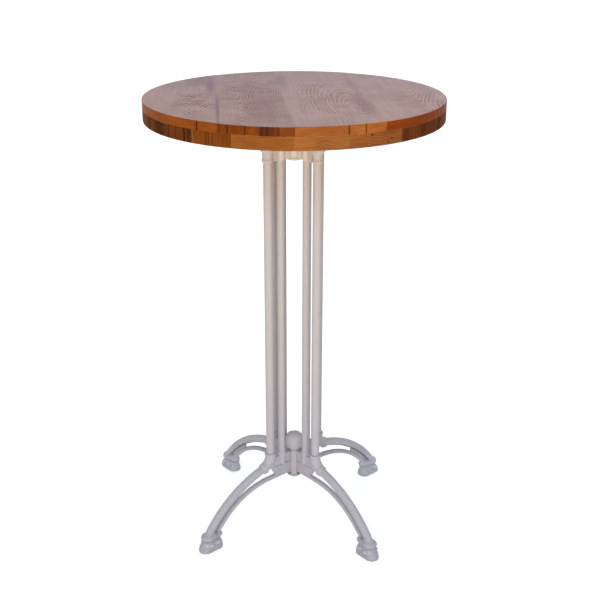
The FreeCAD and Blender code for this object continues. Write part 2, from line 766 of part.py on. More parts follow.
def make_hub(label, bottom, floor, top, bolt_gap):
    """Hub post, square on plan, with a round disc below and a T-slot down each corner."""
    body = new_body(label, FIRST_CORNER_ANGLE)
    disc = new_sketch(body, "disc_profile", "XZ_Plane")
    draw(disc, [
        ("0", bottom),
        ("hub_disc_diameter / 2 - hub_disc_round", bottom, "hub_disc_round", 1),
        ("hub_disc_diameter / 2", f"{bottom} + hub_disc_round"),
        ("hub_disc_diameter / 2", floor),
        ("0", floor),
    ])
    revolve(body, "disc", disc)
    post = new_sketch(body, "post_plan", "XY_Plane", z=floor)
    draw(post, [
        ("hub_corner", "0"),
        ("0", "hub_corner"),
        ("-hub_corner", "0"),
        ("0", "-hub_corner"),
    ])
    pad(body, "post", post, f"{top} - {floor}")
    slot = new_sketch(body, "slot_plan", "XY_Plane", z=floor)
    draw(slot, [
        ("tongue_head_inner - tongue_fit", "-head_slot_half"),
        ("tongue_head_outer + tongue_fit", "-head_slot_half"),
        ("tongue_head_outer + tongue_fit", "-tongue_slot_half"),
        ("hub_corner + overrun", "-tongue_slot_half"),
        ("hub_corner + overrun", "tongue_slot_half"),
        ("tongue_head_outer + tongue_fit", "tongue_slot_half"),
        ("tongue_head_outer + tongue_fit", "head_slot_half"),
        ("tongue_head_inner - tongue_fit", "head_slot_half"),
    ])
    cut = pocket(body, "slot", slot, f"{top} - {floor} + overrun")
    repeat_round(body, "slots", [cut])
    bore(body, "bolt_hole", f"hub_bolt_diameter / 2 + {bolt_gap}", f"{bottom} - overrun",
         f"{top} + overrun")
    return body


def make_ring(label, low, thickness, outer, hole):
    """Flat ring about the table's axis."""
    body = new_body(label)
    section = new_sketch(body, label + "_plan", "XY_Plane", z=low)
    draw_circle(section, outer)
    draw_circle(section, hole)
    pad(body, label + "_ring", section, thickness)
    return body


def make_dome():
    """Dome cap with a round skirt, threaded on the base bolt."""
    body = new_body("dome_cap")
    profile = new_sketch(body, "dome_profile", "XZ_Plane")
    draw(profile, [
        ("0", "dome_bottom"),
        ("dome_radius", "dome_bottom"),
        ("dome_radius", "dome_bottom + dome_wall_height", "dome_radius", 1),
        ("0", "dome_bottom + dome_wall_height + dome_radius"),
    ])
    revolve(body, "dome", profile)
    bore(body, "dome_thread", "hub_bolt_diameter / 2 + thread_fit", "dome_bottom - overrun",
         "dome_bottom + dome_thread_depth")
    return body


def draw_hexagon(sketch, across, x="0"):
    """Hexagon with two flats across the X axis."""
    flat = f"{across} / 2"
    point = f"{across} / sqrt(3)"
    half_side = f"{across} / sqrt(12)"
    draw(sketch, [
        (f"{x} + {flat}", f"-{half_side}"),
        (f"{x} + {flat}", half_side),
        (x, point),
        (f"{x} - {flat}", half_side),
        (f"{x} - {flat}", f"-{half_side}"),
        (x, f"-{point}"),
    ])


def make_hub_bolt(label, head_low, shank_low, shank_high):
    """Hexagon-headed bolt on the table's axis."""
    body = new_body(label)
    head = new_sketch(body, "head_plan", "XY_Plane", z=head_low)
    draw_hexagon(head, "hub_bolt_head_across")
    pad(body, "head", head, "hub_bolt_head_height")
    round_bar(body, "shank", "hub_bolt_diameter / 2", shank_low, shank_high)
    return body


def make_tie_rod(label, angle):
    """Threaded rod that draws a leg, an outer column and a bracket together."""
    body = new_body(label, angle)
    round_bar(body, "rod", "tie_rod_radius", "tie_rod_bottom", "tie_rod_top", x="outer_column_offset")
    return body


def make_tie_nuts():
    """The nut on every tie rod."""
    body = new_body("tie_rod_nuts", FIRST_CORNER_ANGLE)
    plan = new_sketch(body, "nut_plan", "XY_Plane", z="nut_seat + tie_washer_thickness")
    draw_hexagon(plan, "tie_nut_across", x="outer_column_offset")
    draw_circle(plan, "tie_rod_radius + thread_fit", x="outer_column_offset")
    nut = pad(body, "nut", plan, "tie_nut_height")
    repeat_round(body, "nuts", [nut])
    return body


def make_tie_washers():
    """The washer under every tie rod nut."""
    body = new_body("tie_rod_washers", FIRST_CORNER_ANGLE)
    plan = new_sketch(body, "washer_plan", "XY_Plane", z="nut_seat")
    draw_circle(plan, "tie_washer_diameter / 2", x="outer_column_offset")
    draw_circle(plan, "tie_rod_radius + bolt_fit", x="outer_column_offset")
    washer = pad(body, "washer", plan, "tie_washer_thickness")
    repeat_round(body, "washers", [washer])
    return body


def make_screws():
    """Wood screws up through the bracket pads, round-headed below."""
    body = new_body("tabletop_screws", FIRST_CORNER_ANGLE)
    features = []
    for index, side in enumerate(SCREWS_PER_PAD, start=1):
        place_y = f"{side} * pad_hole_offset"
        features.append(round_bar(
            body, f"screw_head_{index}", "screw_head_diameter / 2",
            "flange_bottom - screw_head_height", "flange_bottom", x="pad_offset", y=place_y))
        features.append(round_bar(
            body, f"screw_shank_{index}", "screw_radius", "flange_bottom - screw_head_height",
            "flange_bottom + screw_length", x="pad_offset", y=place_y))
    repeat_round(body, "screws", features)
    return body


def make_glide(name, angle):
    """Levelling glide: a low round pad on the floor and the threaded stud moulded into it."""
    base = new_body("glide_pad_" + name, angle)
    profile = new_sketch(base, "pad_profile", "XZ_Plane", x="glide_offset")
    draw(profile, [
        ("0", "0"),
        ("glide_diameter / 2 - glide_edge_bevel", "0"),
        ("glide_diameter / 2", "glide_edge_bevel"),
        ("glide_diameter / 2", "glide_thickness"),
        ("glide_stud_radius", "glide_thickness"),
        ("glide_stud_radius", "glide_floor"),
        ("0", "glide_floor"),
    ])
    revolve(base, "pad_turned", profile)
    stud = new_body("glide_stud_" + name, angle)
    round_bar(stud, "stud", "glide_stud_radius", "glide_floor",
              "glide_thickness + glide_stud_length", x="glide_offset")
    return [base, stud]


def make_parts():
    """Every sub-part of the table."""
    upper, lower = make_discs()
    parts = make_planks(upper, "upper_plank", UPPER_SEAM_SHARES, "glue_line_height", "upper_thickness")
    parts += make_planks(lower, "lower_plank", LOWER_SEAM_SHARES, "top_under_height", "lower_thickness")
    for name, angle in CORNERS.items():
        parts.append(make_leg("leg_" + name, angle))
        parts.append(make_bracket("bracket_" + name, angle))
        parts.append(make_column("outer_column_" + name, angle, "outer_radius", "outer_column_wall",
                                 "outer_column_offset", "outer_column_bottom", "outer_column_top"))
        parts.append(make_column("inner_column_" + name, angle, "inner_radius", "inner_column_wall",
                                 "inner_column_offset", "column_boss_top", "bracket_bottom_height"))
        parts.append(make_tie_rod("tie_rod_" + name, angle))
        parts += make_glide(name, angle)
    parts += [
        make_hub("base_hub", "base_hub_bottom", "base_hub_floor", "web_top_height", "bolt_fit"),
        make_hub("top_hub", "top_hub_bottom", "bracket_bottom_height", "top_hub_top", "thread_fit"),
        make_ring("dome_spacer", "web_top_height", "spacer_height", "spacer_diameter / 2",
                  "bolt_hole_radius"),
        make_ring("clamp_plate", "top_hub_top", "clamp_plate_thickness", "clamp_plate_radius",
                  "bolt_hole_radius"),
        make_dome(),
        make_hub_bolt("base_hub_bolt", "base_hub_bottom - hub_bolt_head_height", "base_hub_bottom",
                      "dome_bottom + dome_thread_depth - dome_bolt_gap"),
        make_hub_bolt("top_hub_bolt", "top_hub_top + clamp_plate_thickness", "bracket_bottom_height",
                      "top_hub_top + clamp_plate_thickness"),
        make_tie_nuts(),
        make_tie_washers(),
        make_screws(),
    ]
    return parts


def check(parts):
    """Stop on any object that failed to build and on any sub-part without a sound shape."""
    for item in doc.Objects:
        if "Invalid" in item.State or "Error" in item.State:
            raise RuntimeError(f"{item.Name} failed: {item.State}")
    for part in parts:
        if part.Shape.isNull() or not part.Shape.isValid() or not part.Shape.Solids:
            raise RuntimeError(f"{part.Label} has no sound shape")


def write(parts):
    """One file per sub-part, named after it."""
    os.makedirs("parts", exist_ok=True)
    for part in parts:
        part.Shape.exportStep(f"parts/{part.Label}.step")


parts = make_parts()
doc.recompute()
check(parts)
write(parts)
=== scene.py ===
import math

import bmesh
import bpy
from mathutils import Matrix, Vector


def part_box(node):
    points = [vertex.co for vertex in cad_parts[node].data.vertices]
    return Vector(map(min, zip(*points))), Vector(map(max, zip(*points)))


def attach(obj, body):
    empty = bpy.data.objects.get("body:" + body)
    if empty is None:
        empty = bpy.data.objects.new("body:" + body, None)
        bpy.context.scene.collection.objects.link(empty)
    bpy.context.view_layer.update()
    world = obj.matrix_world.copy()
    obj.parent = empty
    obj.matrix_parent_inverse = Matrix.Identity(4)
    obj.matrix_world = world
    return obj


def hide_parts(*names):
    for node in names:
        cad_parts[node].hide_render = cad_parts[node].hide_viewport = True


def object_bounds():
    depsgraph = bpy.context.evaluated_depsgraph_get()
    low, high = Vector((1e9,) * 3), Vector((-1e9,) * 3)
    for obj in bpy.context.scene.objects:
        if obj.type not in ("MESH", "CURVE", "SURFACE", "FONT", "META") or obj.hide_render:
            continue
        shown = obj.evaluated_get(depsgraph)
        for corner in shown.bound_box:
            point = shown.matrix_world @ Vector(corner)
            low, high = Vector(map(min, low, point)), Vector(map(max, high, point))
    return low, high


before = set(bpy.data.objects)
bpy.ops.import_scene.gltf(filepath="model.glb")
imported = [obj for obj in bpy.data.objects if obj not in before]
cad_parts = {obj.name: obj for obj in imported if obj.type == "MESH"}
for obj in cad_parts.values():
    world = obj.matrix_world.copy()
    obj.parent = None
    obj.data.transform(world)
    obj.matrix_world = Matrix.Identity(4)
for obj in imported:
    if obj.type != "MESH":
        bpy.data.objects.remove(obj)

# Looks of the pub table: oiled plank top, worn off-white paint on the cast base, white studio.
# Metres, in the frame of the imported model: +Z up, origin on the floor under the middle of the top.
# A noise is given as scale, detail and roughness, a stretch as a factor for each axis, and a bump as
# distance and strength. A rise is given as two inputs and the outputs at them. A span is the two
# inputs alone, and the outputs are then 0 and 1 or are given apart.

cad_low, cad_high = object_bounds()

ROOT_BODY = "table"
CORNERS = ("rear_right", "rear_left", "front_left", "front_right")
QUARTER_TURN = math.radians(90)
MODEL_CORNER = "front_left"
SAME_PLACE = 1e-6
SHARP_EDGE = math.radians(35)

# Sockets of a Mix node that are used for colours
MIX_FIRST = 6
MIX_SECOND = 7
MIX_RESULT = 2

# Camera of the photograph
CAMERA_AZIMUTH = math.radians(4.075)
CAMERA_DISTANCE = 2.3271
CAMERA_HEIGHT = 1.5401
CAMERA_PITCH = math.radians(21.80)
CAMERA_LENS_MM = 60.11
CAMERA_SENSOR_MM = 36.0
CAMERA_SHIFT = 0.0095

# Planks run this far off the +Y axis. Their rim has a point at each step and is rounded, and a thin
# gap is left at each seam.
PLANK_ANGLE = math.radians(8.7)
PLANK_ACROSS = Vector((math.cos(PLANK_ANGLE), math.sin(PLANK_ANGLE), 0))
RIM_STEP = math.radians(0.8)
RIM_ROUND = 0.003
ROUND_SEGMENTS = 3
SEAM_GAP = 0.00003

# Grain of each plank. shape says how its lines run: a flame is a row of points along the heart line,
# a zigzag is a flame folded again and again across, and rings lie round the leaning heart of a log.
# heart is a place across and along from the middle of the table, lean how far the lines of a flame
# move across, or the heart of a log sinks, for each step along the plank, depth how far the heart
# lies below the top face and spacing the step from line to line. eye is the middle of a second set
# of rings. wave bends the lines slowly and ripple quickly. figure is the middle and half size of the
# stretch where the lines show most. bold is how dark its lines are and tone brightens or darkens the
# face. ends is the colour of the sawn rim and stripe the stretch of its pores.
UPRIGHT_PORES = (1.0, 1.0, 0.06)
LEVEL_PORES = (0.10, 0.10, 1.0)
UPPER_GRAIN = (
    {"shape": "zigzag", "heart": (-0.238, 0.000), "lean": -0.36, "depth": 0.0, "spacing": 0.0100,
     "eye": None, "wave": 0.020, "ripple": 0.006, "figure": (-0.228, -0.095, 0.042, 0.135),
     "bold": 0.88, "tone": 0.97, "ends": (0.318, 0.0715, 0.007), "stripe": LEVEL_PORES},
    {"shape": "flame", "heart": (-0.132, 0.000), "lean": -0.16, "depth": 0.0, "spacing": 0.0064,
     "eye": None, "wave": 0.030, "ripple": 0.005, "figure": (-0.095, -0.020, 0.080, 0.280),
     "bold": 0.60, "tone": 0.96, "ends": (0.235, 0.050, 0.004), "stripe": UPRIGHT_PORES},
    {"shape": "rings", "heart": (0.124, -0.130), "lean": 0.24, "depth": 0.0, "spacing": 0.0088,
     "eye": (0.082, 0.235), "wave": 0.060, "ripple": 0.007, "figure": (0.080, -0.070, 0.065, 0.230),
     "bold": 0.40, "tone": 1.02, "ends": (0.396, 0.112, 0.0215), "stripe": LEVEL_PORES},
    {"shape": "flame", "heart": (0.276, 0.000), "lean": -0.20, "depth": 0.0, "spacing": 0.0090,
     "eye": None, "wave": 0.040, "ripple": 0.006, "figure": (0.275, -0.110, 0.050, 0.120),
     "bold": 0.50, "tone": 1.04, "ends": (0.275, 0.046, 0.003), "stripe": LEVEL_PORES},
)
LOWER_GRAIN = (
    {"shape": "rings", "heart": (-0.310, 0.000), "lean": 0.10, "depth": 0.020, "spacing": 0.0060,
     "eye": None, "wave": 0.030, "ripple": 0.004, "figure": None,
     "bold": 0.66, "tone": 0.80, "ends": (0.183, 0.047, 0.009), "stripe": UPRIGHT_PORES},
    {"shape": "rings", "heart": (-0.200, 0.100), "lean": 0.05, "depth": 0.075, "spacing": 0.0055,
     "eye": None, "wave": 0.025, "ripple": 0.004, "figure": None,
     "bold": 0.66, "tone": 0.85, "ends": (0.215, 0.0545, 0.009), "stripe": UPRIGHT_PORES},
    {"shape": "rings", "heart": (-0.090, 0.000), "lean": 0.05, "depth": 0.085, "spacing": 0.0070,
     "eye": None, "wave": 0.025, "ripple": 0.006, "figure": None,
     "bold": 0.66, "tone": 0.95, "ends": (0.367, 0.1115, 0.0215), "stripe": LEVEL_PORES},
    {"shape": "rings", "heart": (0.035, 0.000), "lean": 0.04, "depth": 0.062, "spacing": 0.0065,
     "eye": None, "wave": 0.020, "ripple": 0.004, "figure": None,
     "bold": 0.66, "tone": 1.00, "ends": (0.390, 0.130, 0.032), "stripe": LEVEL_PORES},
    {"shape": "rings", "heart": (0.150, 0.000), "lean": 0.06, "depth": -0.020, "spacing": 0.0060,
     "eye": None, "wave": 0.025, "ripple": 0.006, "figure": None,
     "bold": 0.66, "tone": 0.97, "ends": (0.330, 0.101, 0.0245), "stripe": LEVEL_PORES},
    {"shape": "rings", "heart": (0.280, 0.000), "lean": 0.08, "depth": 0.040, "spacing": 0.0060,
     "eye": None, "wave": 0.030, "ripple": 0.004, "figure": None,
     "bold": 0.66, "tone": 0.85, "ends": (0.171, 0.0455, 0.011), "stripe": UPRIGHT_PORES},
)

# Run of the grain lines. The noise of a plank is moved by its number times SEED_SHIFT. ABOVE_ZERO
# keeps a folded or counted length positive.
SEED_SHIFT = (1.7, 2.3, 0.9)
WAVE_STRETCH = (1.0, 0.55, 1.0)
SWAY_NOISE = (9.0, 2.0, 0.45)
DIP_NOISE = (6.5, 1.5, 0.4)
RIPPLE_STRETCH = (1.0, 0.12, 1.0)
RIPPLE_NOISE = (48.0, 1.0, 0.5)
ABOVE_ZERO = 1.0
FLAME_TIP = 0.004
ZIGZAG_FOLD = 0.018
EYE_LEAN = 0.55
EYE_DEPTH = 0.085

# Darkness of the grain lines: how a line comes in and ends in one spacing, its patchy fading and its
# fading away from the figure
LINE_IN = (0.25, 0.80)
LINE_OUT = (1.0, 0.86)
FADE_NOISE = (26.0, 2.0, 0.5)
FADE_RISE = (0.36, 0.62, 0.15, 1.0)
FIGURE_RISE = (1.5, 0.6, 0.22, 1.0)

# Dusky and rosy stains on the top face: across, along, half width, half length and strength. Their
# edge is made ragged by a noise.
DUSKY_STAINS = (
    (-0.222, 0.205, 0.045, 0.080, 0.55),
    (-0.194, 0.150, 0.012, 0.130, 0.85),
    (-0.179, -0.170, 0.0050, 0.200, 0.80),
    (-0.017, 0.190, 0.015, 0.150, 0.50),
)
ROSY_STAINS = (
    (-0.080, -0.120, 0.042, 0.200, 0.60),
    (-0.108, 0.090, 0.025, 0.140, 0.50),
    (0.144, -0.130, 0.022, 0.140, 0.65),
    (0.151, 0.060, 0.011, 0.260, 0.35),
)
STAIN_NOISE = (22.0, 4.0, 0.6)
STAIN_LEAST = 0.45
STAIN_SPAN = (1.5, 0.2)

# Dark streaks across the rim: direction in degrees from +X, half width in degrees and strength. The
# upper streaks at the directions of the cracks are painted shade in the cracks. STREAK_CORE is the share
# of the half width at full strength, STREAK_SHADE the share of the colour that is left there.
UPPER_STREAKS_AND_CRACK_SHADE = (
    (-120.9, 0.42, 0.90),
    (-112.0, 1.20, 0.35),
    (-108.7, 0.42, 0.80),
    (-102.4, 0.45, 0.65),
    (-95.0, 4.50, 0.68),
    (-96.6, 1.10, 0.85),
    (-94.9, 0.45, 0.98),
    (-91.2, 0.80, 0.65),
    (-67.5, 0.36, 0.60),
    (-61.3, 0.36, 0.60),
)
LOWER_STREAKS = (
    (-151.0, 2.50, 0.45),
    (-142.0, 5.00, 0.60),
    (-135.5, 0.70, 0.55),
    (-131.5, 0.60, 0.35),
    (-126.9, 0.55, 0.98),
    (-124.8, 1.60, 0.55),
    (-117.0, 0.40, 0.45),
    (-116.0, 0.35, 0.45),
    (-114.6, 0.35, 0.35),
    (-44.0, 1.60, 0.35),
    (-35.5, 0.50, 0.60),
    (-34.0, 1.00, 0.45),
    (-21.5, 2.00, 0.65),
)
STREAK_NOISE = (60.0, 1.0, 0.5)
STREAK_CORE = 0.35
STREAK_SHADE = 0.16

# Small knots in the rim of the lower planks: direction in degrees, height and radius. A knot comes
# in between two multiples of its radius.
KNOTS = (
    (-59.0, 1.0958, 0.0026),
    (-52.5, 1.0776, 0.0022),
    (-50.9, 1.0834, 0.0022),
)
KNOT_SPAN = (1.5, 0.5)
KNOT_STRENGTH = 0.85

# Narrow cracks cut into the rim of the upper planks: directions in degrees, width and depth
CRACKS = (-120.9, -67.5, -61.3)
CRACK_WIDTH = 0.0018
CRACK_DEPTH = 0.003

# Pale glue in the joint between the layers, broken by a noise, and in one upright seam, which is
# given as a streak
GLUE_SPAN = (0.0014, 0.0007)
GLUE_NOISE = (55.0, 3.0, 0.6)
GLUE_RISE = (0.52, 0.66, 0.0, 0.35)
GLUE_SEAM = (-123.0, 0.24, 0.35)
GLUE_COLOUR = (0.520, 0.330, 0.180)

# Oiled faces: front and rear of the top and the places along the planks between which they change, the
# underside, the grain lines and the two kinds of stain. The pale mauve of the top face is partly the
# colour of the wood and partly painted sheen, a painted reflection of the pale sky, and the bluer rear
# is a painted reflection of the stronger sheen at the back.
FACE_COLOUR_AND_SHEEN = (0.402, 0.264, 0.236)
FACE_REAR_AND_SHEEN = (0.364, 0.250, 0.242)
FACE_SHEEN_SPAN = (-0.12, 0.22)
UNDER_COLOUR = (0.300, 0.135, 0.060)
LINE_COLOUR = (0.126, 0.022, 0.002)
DUSK_COLOUR = (0.205, 0.122, 0.150)
ROSE_COLOUR = (0.245, 0.130, 0.128)

# Finish of the wood. A face that is level counts as oiled face and an upright one as sawn rim, and
# UP_SPAN lies between. The low index of refraction gives each layer its faint sheen.
COARSE_SPAN = (0.25, 0.75)
FINE_SPAN = (0.2, 0.8)
UP_SPAN = (0.45, 0.85)
FIBRE_STRETCH = (1.0, 0.03, 1.0)
FIBRE_NOISE = (900.0, 2.0, 0.6)
FIBRE_TONE = (0.95, 1.04)
FIBRE_ROUGHNESS = (0.42, 0.52)
RING_ROUGHNESS = 0.08
RING_GROOVE = 0.5
WOOD_BUMP = (0.00010, 0.5)
BAND_STRETCH = (1.0, 0.05, 1.0)
BAND_NOISE = (95.0, 3.0, 0.65)
BAND_TONE = (0.93, 1.07)
CLOUD_SCALE = 7.0
CLOUD_DETAIL = (3.0, 0.5)
CLOUD_TONE = (0.92, 1.07)
RIM_CLOUD_TONE = (0.84, 1.12)
RIM_RINGS = 0.45
RIM_RING_SHADE = 0.55
PORE_NOISE = (260.0, 3.0, 0.6)
PORE_TONE = (0.80, 1.14)
UPPER_IOR = 1.13
LOWER_IOR = 1.05

# Paint from the floor to the top: share of the height and colour. The run from a darker, cool grey near
# the floor to warm cream at the top is painted light: the cool sky on the base and the warm front light
# under the top.
PAINT_AND_LIGHT_STOPS = (
    (0.00, (0.390, 0.378, 0.428)),
    (0.05, (0.425, 0.410, 0.460)),
    (0.16, (0.505, 0.475, 0.500)),
    (0.36, (0.555, 0.505, 0.490)),
    (0.71, (0.620, 0.543, 0.500)),
    (0.86, (0.635, 0.515, 0.420)),
)
PAINT_PINK = (0.560, 0.440, 0.390)
PAINT_GREY = (0.470, 0.465, 0.500)
# The next colour is a painted highlight for the tops of the ledges.
PAINT_HIGHLIGHT = (0.700, 0.695, 0.730)
PAINT_WORN = (0.300, 0.240, 0.200)
# Grime and painted shade in the hollows
PAINT_GRIME_AND_SHADE = (0.190, 0.140, 0.110)

# Finish of the paint: clouds of pink and grey, fine relief, rubbed edges, and grime with painted shade
# in hollows
EVEN = (1.0, 1.0, 1.0)
DRAWN_UP = (1.0, 1.0, 0.16)
BLUSH_NOISE = (24.0, 2.0, 0.5)
CHILL_NOISE = (15.0, 2.0, 0.5)
BLOTCH_SPAN = (0.48, 0.72)
RELIEF_DETAIL = (3.0, 0.55)
RELIEF_TONE = (0.975, 1.025)
EDGE_SPAN = (0.53, 0.62)
WEAR_SPAN = (0.50, 0.66)
HOLLOW_SAMPLES = 8
HOLLOW_DISTANCE = 0.014
HOLLOW_SPAN = (0.58, 0.10)
GRIME_AND_SHADE_RISE = (0.25, 0.60, 0.60, 1.0)
PAINT_ROUGHNESS = (0.50, 0.66)
PAINT_IOR = 1.45
PAINT_SPECULAR = 0.35
PAINT_BUMP = (0.00012, 0.4)

STEEL_COLOUR = (0.46, 0.46, 0.47)
STEEL_STRETCH = (1.0, 1.0, 12.0)
STEEL_NOISE = (300.0, 3.0, 0.5)
STEEL_ROUGHNESS = (0.28, 0.45)
STEEL_BUMP = (0.00005, 0.4)
STEEL_NODES = ("clamp_plate", "base_hub_bolt", "top_hub_bolt", "tie_rod_nuts", "tie_rod_washers",
               "tabletop_screws")

NYLON_COLOUR = (0.055, 0.052, 0.050)
NYLON_NOISE = (380.0, 4.0, 0.65)
NYLON_SPAN = (0.5, 0.8)
NYLON_SCUFF = 2.2
NYLON_ROUGHNESS = (0.5, 0.75)
NYLON_BUMP = (0.0001, 0.5)

# Softening of the castings: distance at which points are welded, size of the voxels, rounds and
# strength of the smoothing, and the share of the faces kept on legs and brackets and on the hubs
CAST_WELD = 1e-5
CAST_VOXEL = 0.0009
CAST_SMOOTH_ROUNDS = 3
CAST_SMOOTH = 0.5
CAST_KEEP = 0.40
HUB_KEEP = 1.0

# Cuff round the top of each foot, along its leg: middle and radius of the heel and of the toe, and
# the inset and height of each section of its swelling
CUFF_HEEL = (0.260, 0.0125)
CUFF_TOE = (0.290, 0.0185)
CUFF_SECTIONS = (
    (0.0060, 0.0322),
    (0.0000, 0.0324),
    (-0.0018, 0.0342),
    (-0.0020, 0.0372),
    (-0.0004, 0.0408),
    (0.0036, 0.0438),
    (0.0085, 0.0458),
)
CUFF_STEPS = 48

# Share by which the cuff and the neck below it are drawn in towards a place along the leg, and the
# reach and heights over which that fades in and out
PINCH = 0.090
PINCH_MIDDLE = 0.274
PINCH_REACH = (0.222, 0.240)
PINCH_RISE = (0.014, 0.027)
PINCH_FALL = (0.044, 0.058)

# Ledges on the flanks of each foot: middle and half length along the leg, and the half width and
# height of the corners of their section
LEDGES = ((0.270, 0.0063), (0.2925, 0.0063))
LEDGE_SECTIONS = (
    ((0.008, 0.0275), (0.0128, 0.0265), (0.0200, 0.0200),
     (0.0200, 0.0180), (0.0130, 0.0165), (0.008, 0.0165)),
    ((0.010, 0.0270), (0.0160, 0.0258), (0.0222, 0.0190),
     (0.0222, 0.0170), (0.0160, 0.0152), (0.010, 0.0152)),
)

# Dome over the hub: share of its radius and of its height
DOME_PROFILE = (
    (0.80, 0.00),
    (0.97, 0.02),
    (1.00, 0.05),
    (1.00, 0.46),
    (0.97, 0.60),
    (0.89, 0.74),
    (0.74, 0.87),
    (0.52, 0.95),
    (0.26, 0.99),
)
DOME_STEPS = 64

# Dark lines on the castings: place of the middle, half width, share of it at full strength and strength.
# The line in the crevice between leg and rib and the line below the cuffs are painted shade. The crevice
# line is a circle round a middle given by reach and height, and is drawn further in on the front legs.
# The others lie level, below the step of the webs and below the cuffs. Spans say over which heights and
# reaches a line comes in or ends.
CREVICE_MIDDLE = (0.0385, -0.1336)
CREVICE_LINE = (0.2962, 0.0046, 0.3, 0.75)
CREVICE_FRONT = (0.0, -0.05, 0.0, 0.0060)
CREVICE_HEIGHT = (0.036, 0.050)
CREVICE_REACH = (0.100, 0.130)
STEP_LINE = (0.1585, 0.0030, 0.4, 0.75)
STEP_START = (0.018, 0.024)
STEP_END = (0.080, 0.070)
CUFF_LINE = (0.0298, 0.0036, 0.3, 0.60)
FOOT_REACH = (0.225, 0.240)

# Painted light on the ledges: heights between which their tops get a painted highlight and their
# undersides painted shade, the tilt that counts as top or underside, the strength, where the toe starts,
# which has no ledge, and the height over which a shade comes in
LEDGE_BRIGHT = (0.0170, 0.0235)
LEDGE_UP = (0.36, 0.56)
LEDGE_SHINE = 0.55
LEDGE_DARK = (0.0120, 0.0185)
LEDGE_DOWN = (-0.05, -0.35)
LEDGE_UNDER_SHADE = 0.75
LEDGE_REACH = (0.3045, 0.3010)
LEDGE_SOFT = 0.001

# From the sockets of the columns up, hollows get hardly any grime or painted shade
JOINT_RISE = (0.182, 0.170, 0.06, 1.0)

# Painted light on the rear feet and on the top hub, which lie in shade: where it fades in and how much
# brighter it is
REAR_RISE = (0.00, 0.15, 0.0, 0.24)
REAR_HEIGHT = (0.10, 0.05)
HUB_RISE = (0.060, 0.048, 0.0, 0.20)
HUB_HEIGHT = (0.90, 0.95)

# Studio: the floor glows for the camera, a little less near the table so that its shadow shows. The
# sky is white to the camera and in reflections and lights the rest with a cool grey. Lamps are name,
# place, size, power and colour: soft light from the front at table height, a weak one from the right
# and a wash on the top.
FLOOR_SIZE = 60.0
FLOOR_COLOUR = (0.80, 0.80, 0.80)
FLOOR_ROUGHNESS = 0.9
FLOOR_GLOW = (0.7, 3.0, 0.53, 0.70)
WHITE = (1.0, 1.0, 1.0)
SKY_FILL = (0.426, 0.473, 0.520)
LAMPS = (
    ("key", (-0.08, -3.4, 1.0), 1.4, 56.0, (1.0, 0.970, 0.930)),
    ("fill", (2.6, -2.4, 0.9), 2.4, 4.5, (0.94, 0.96, 1.0)),
    ("wash", (0.0, 0.3, 3.4), 3.0, 38.0, (0.93, 0.96, 1.0)),
)


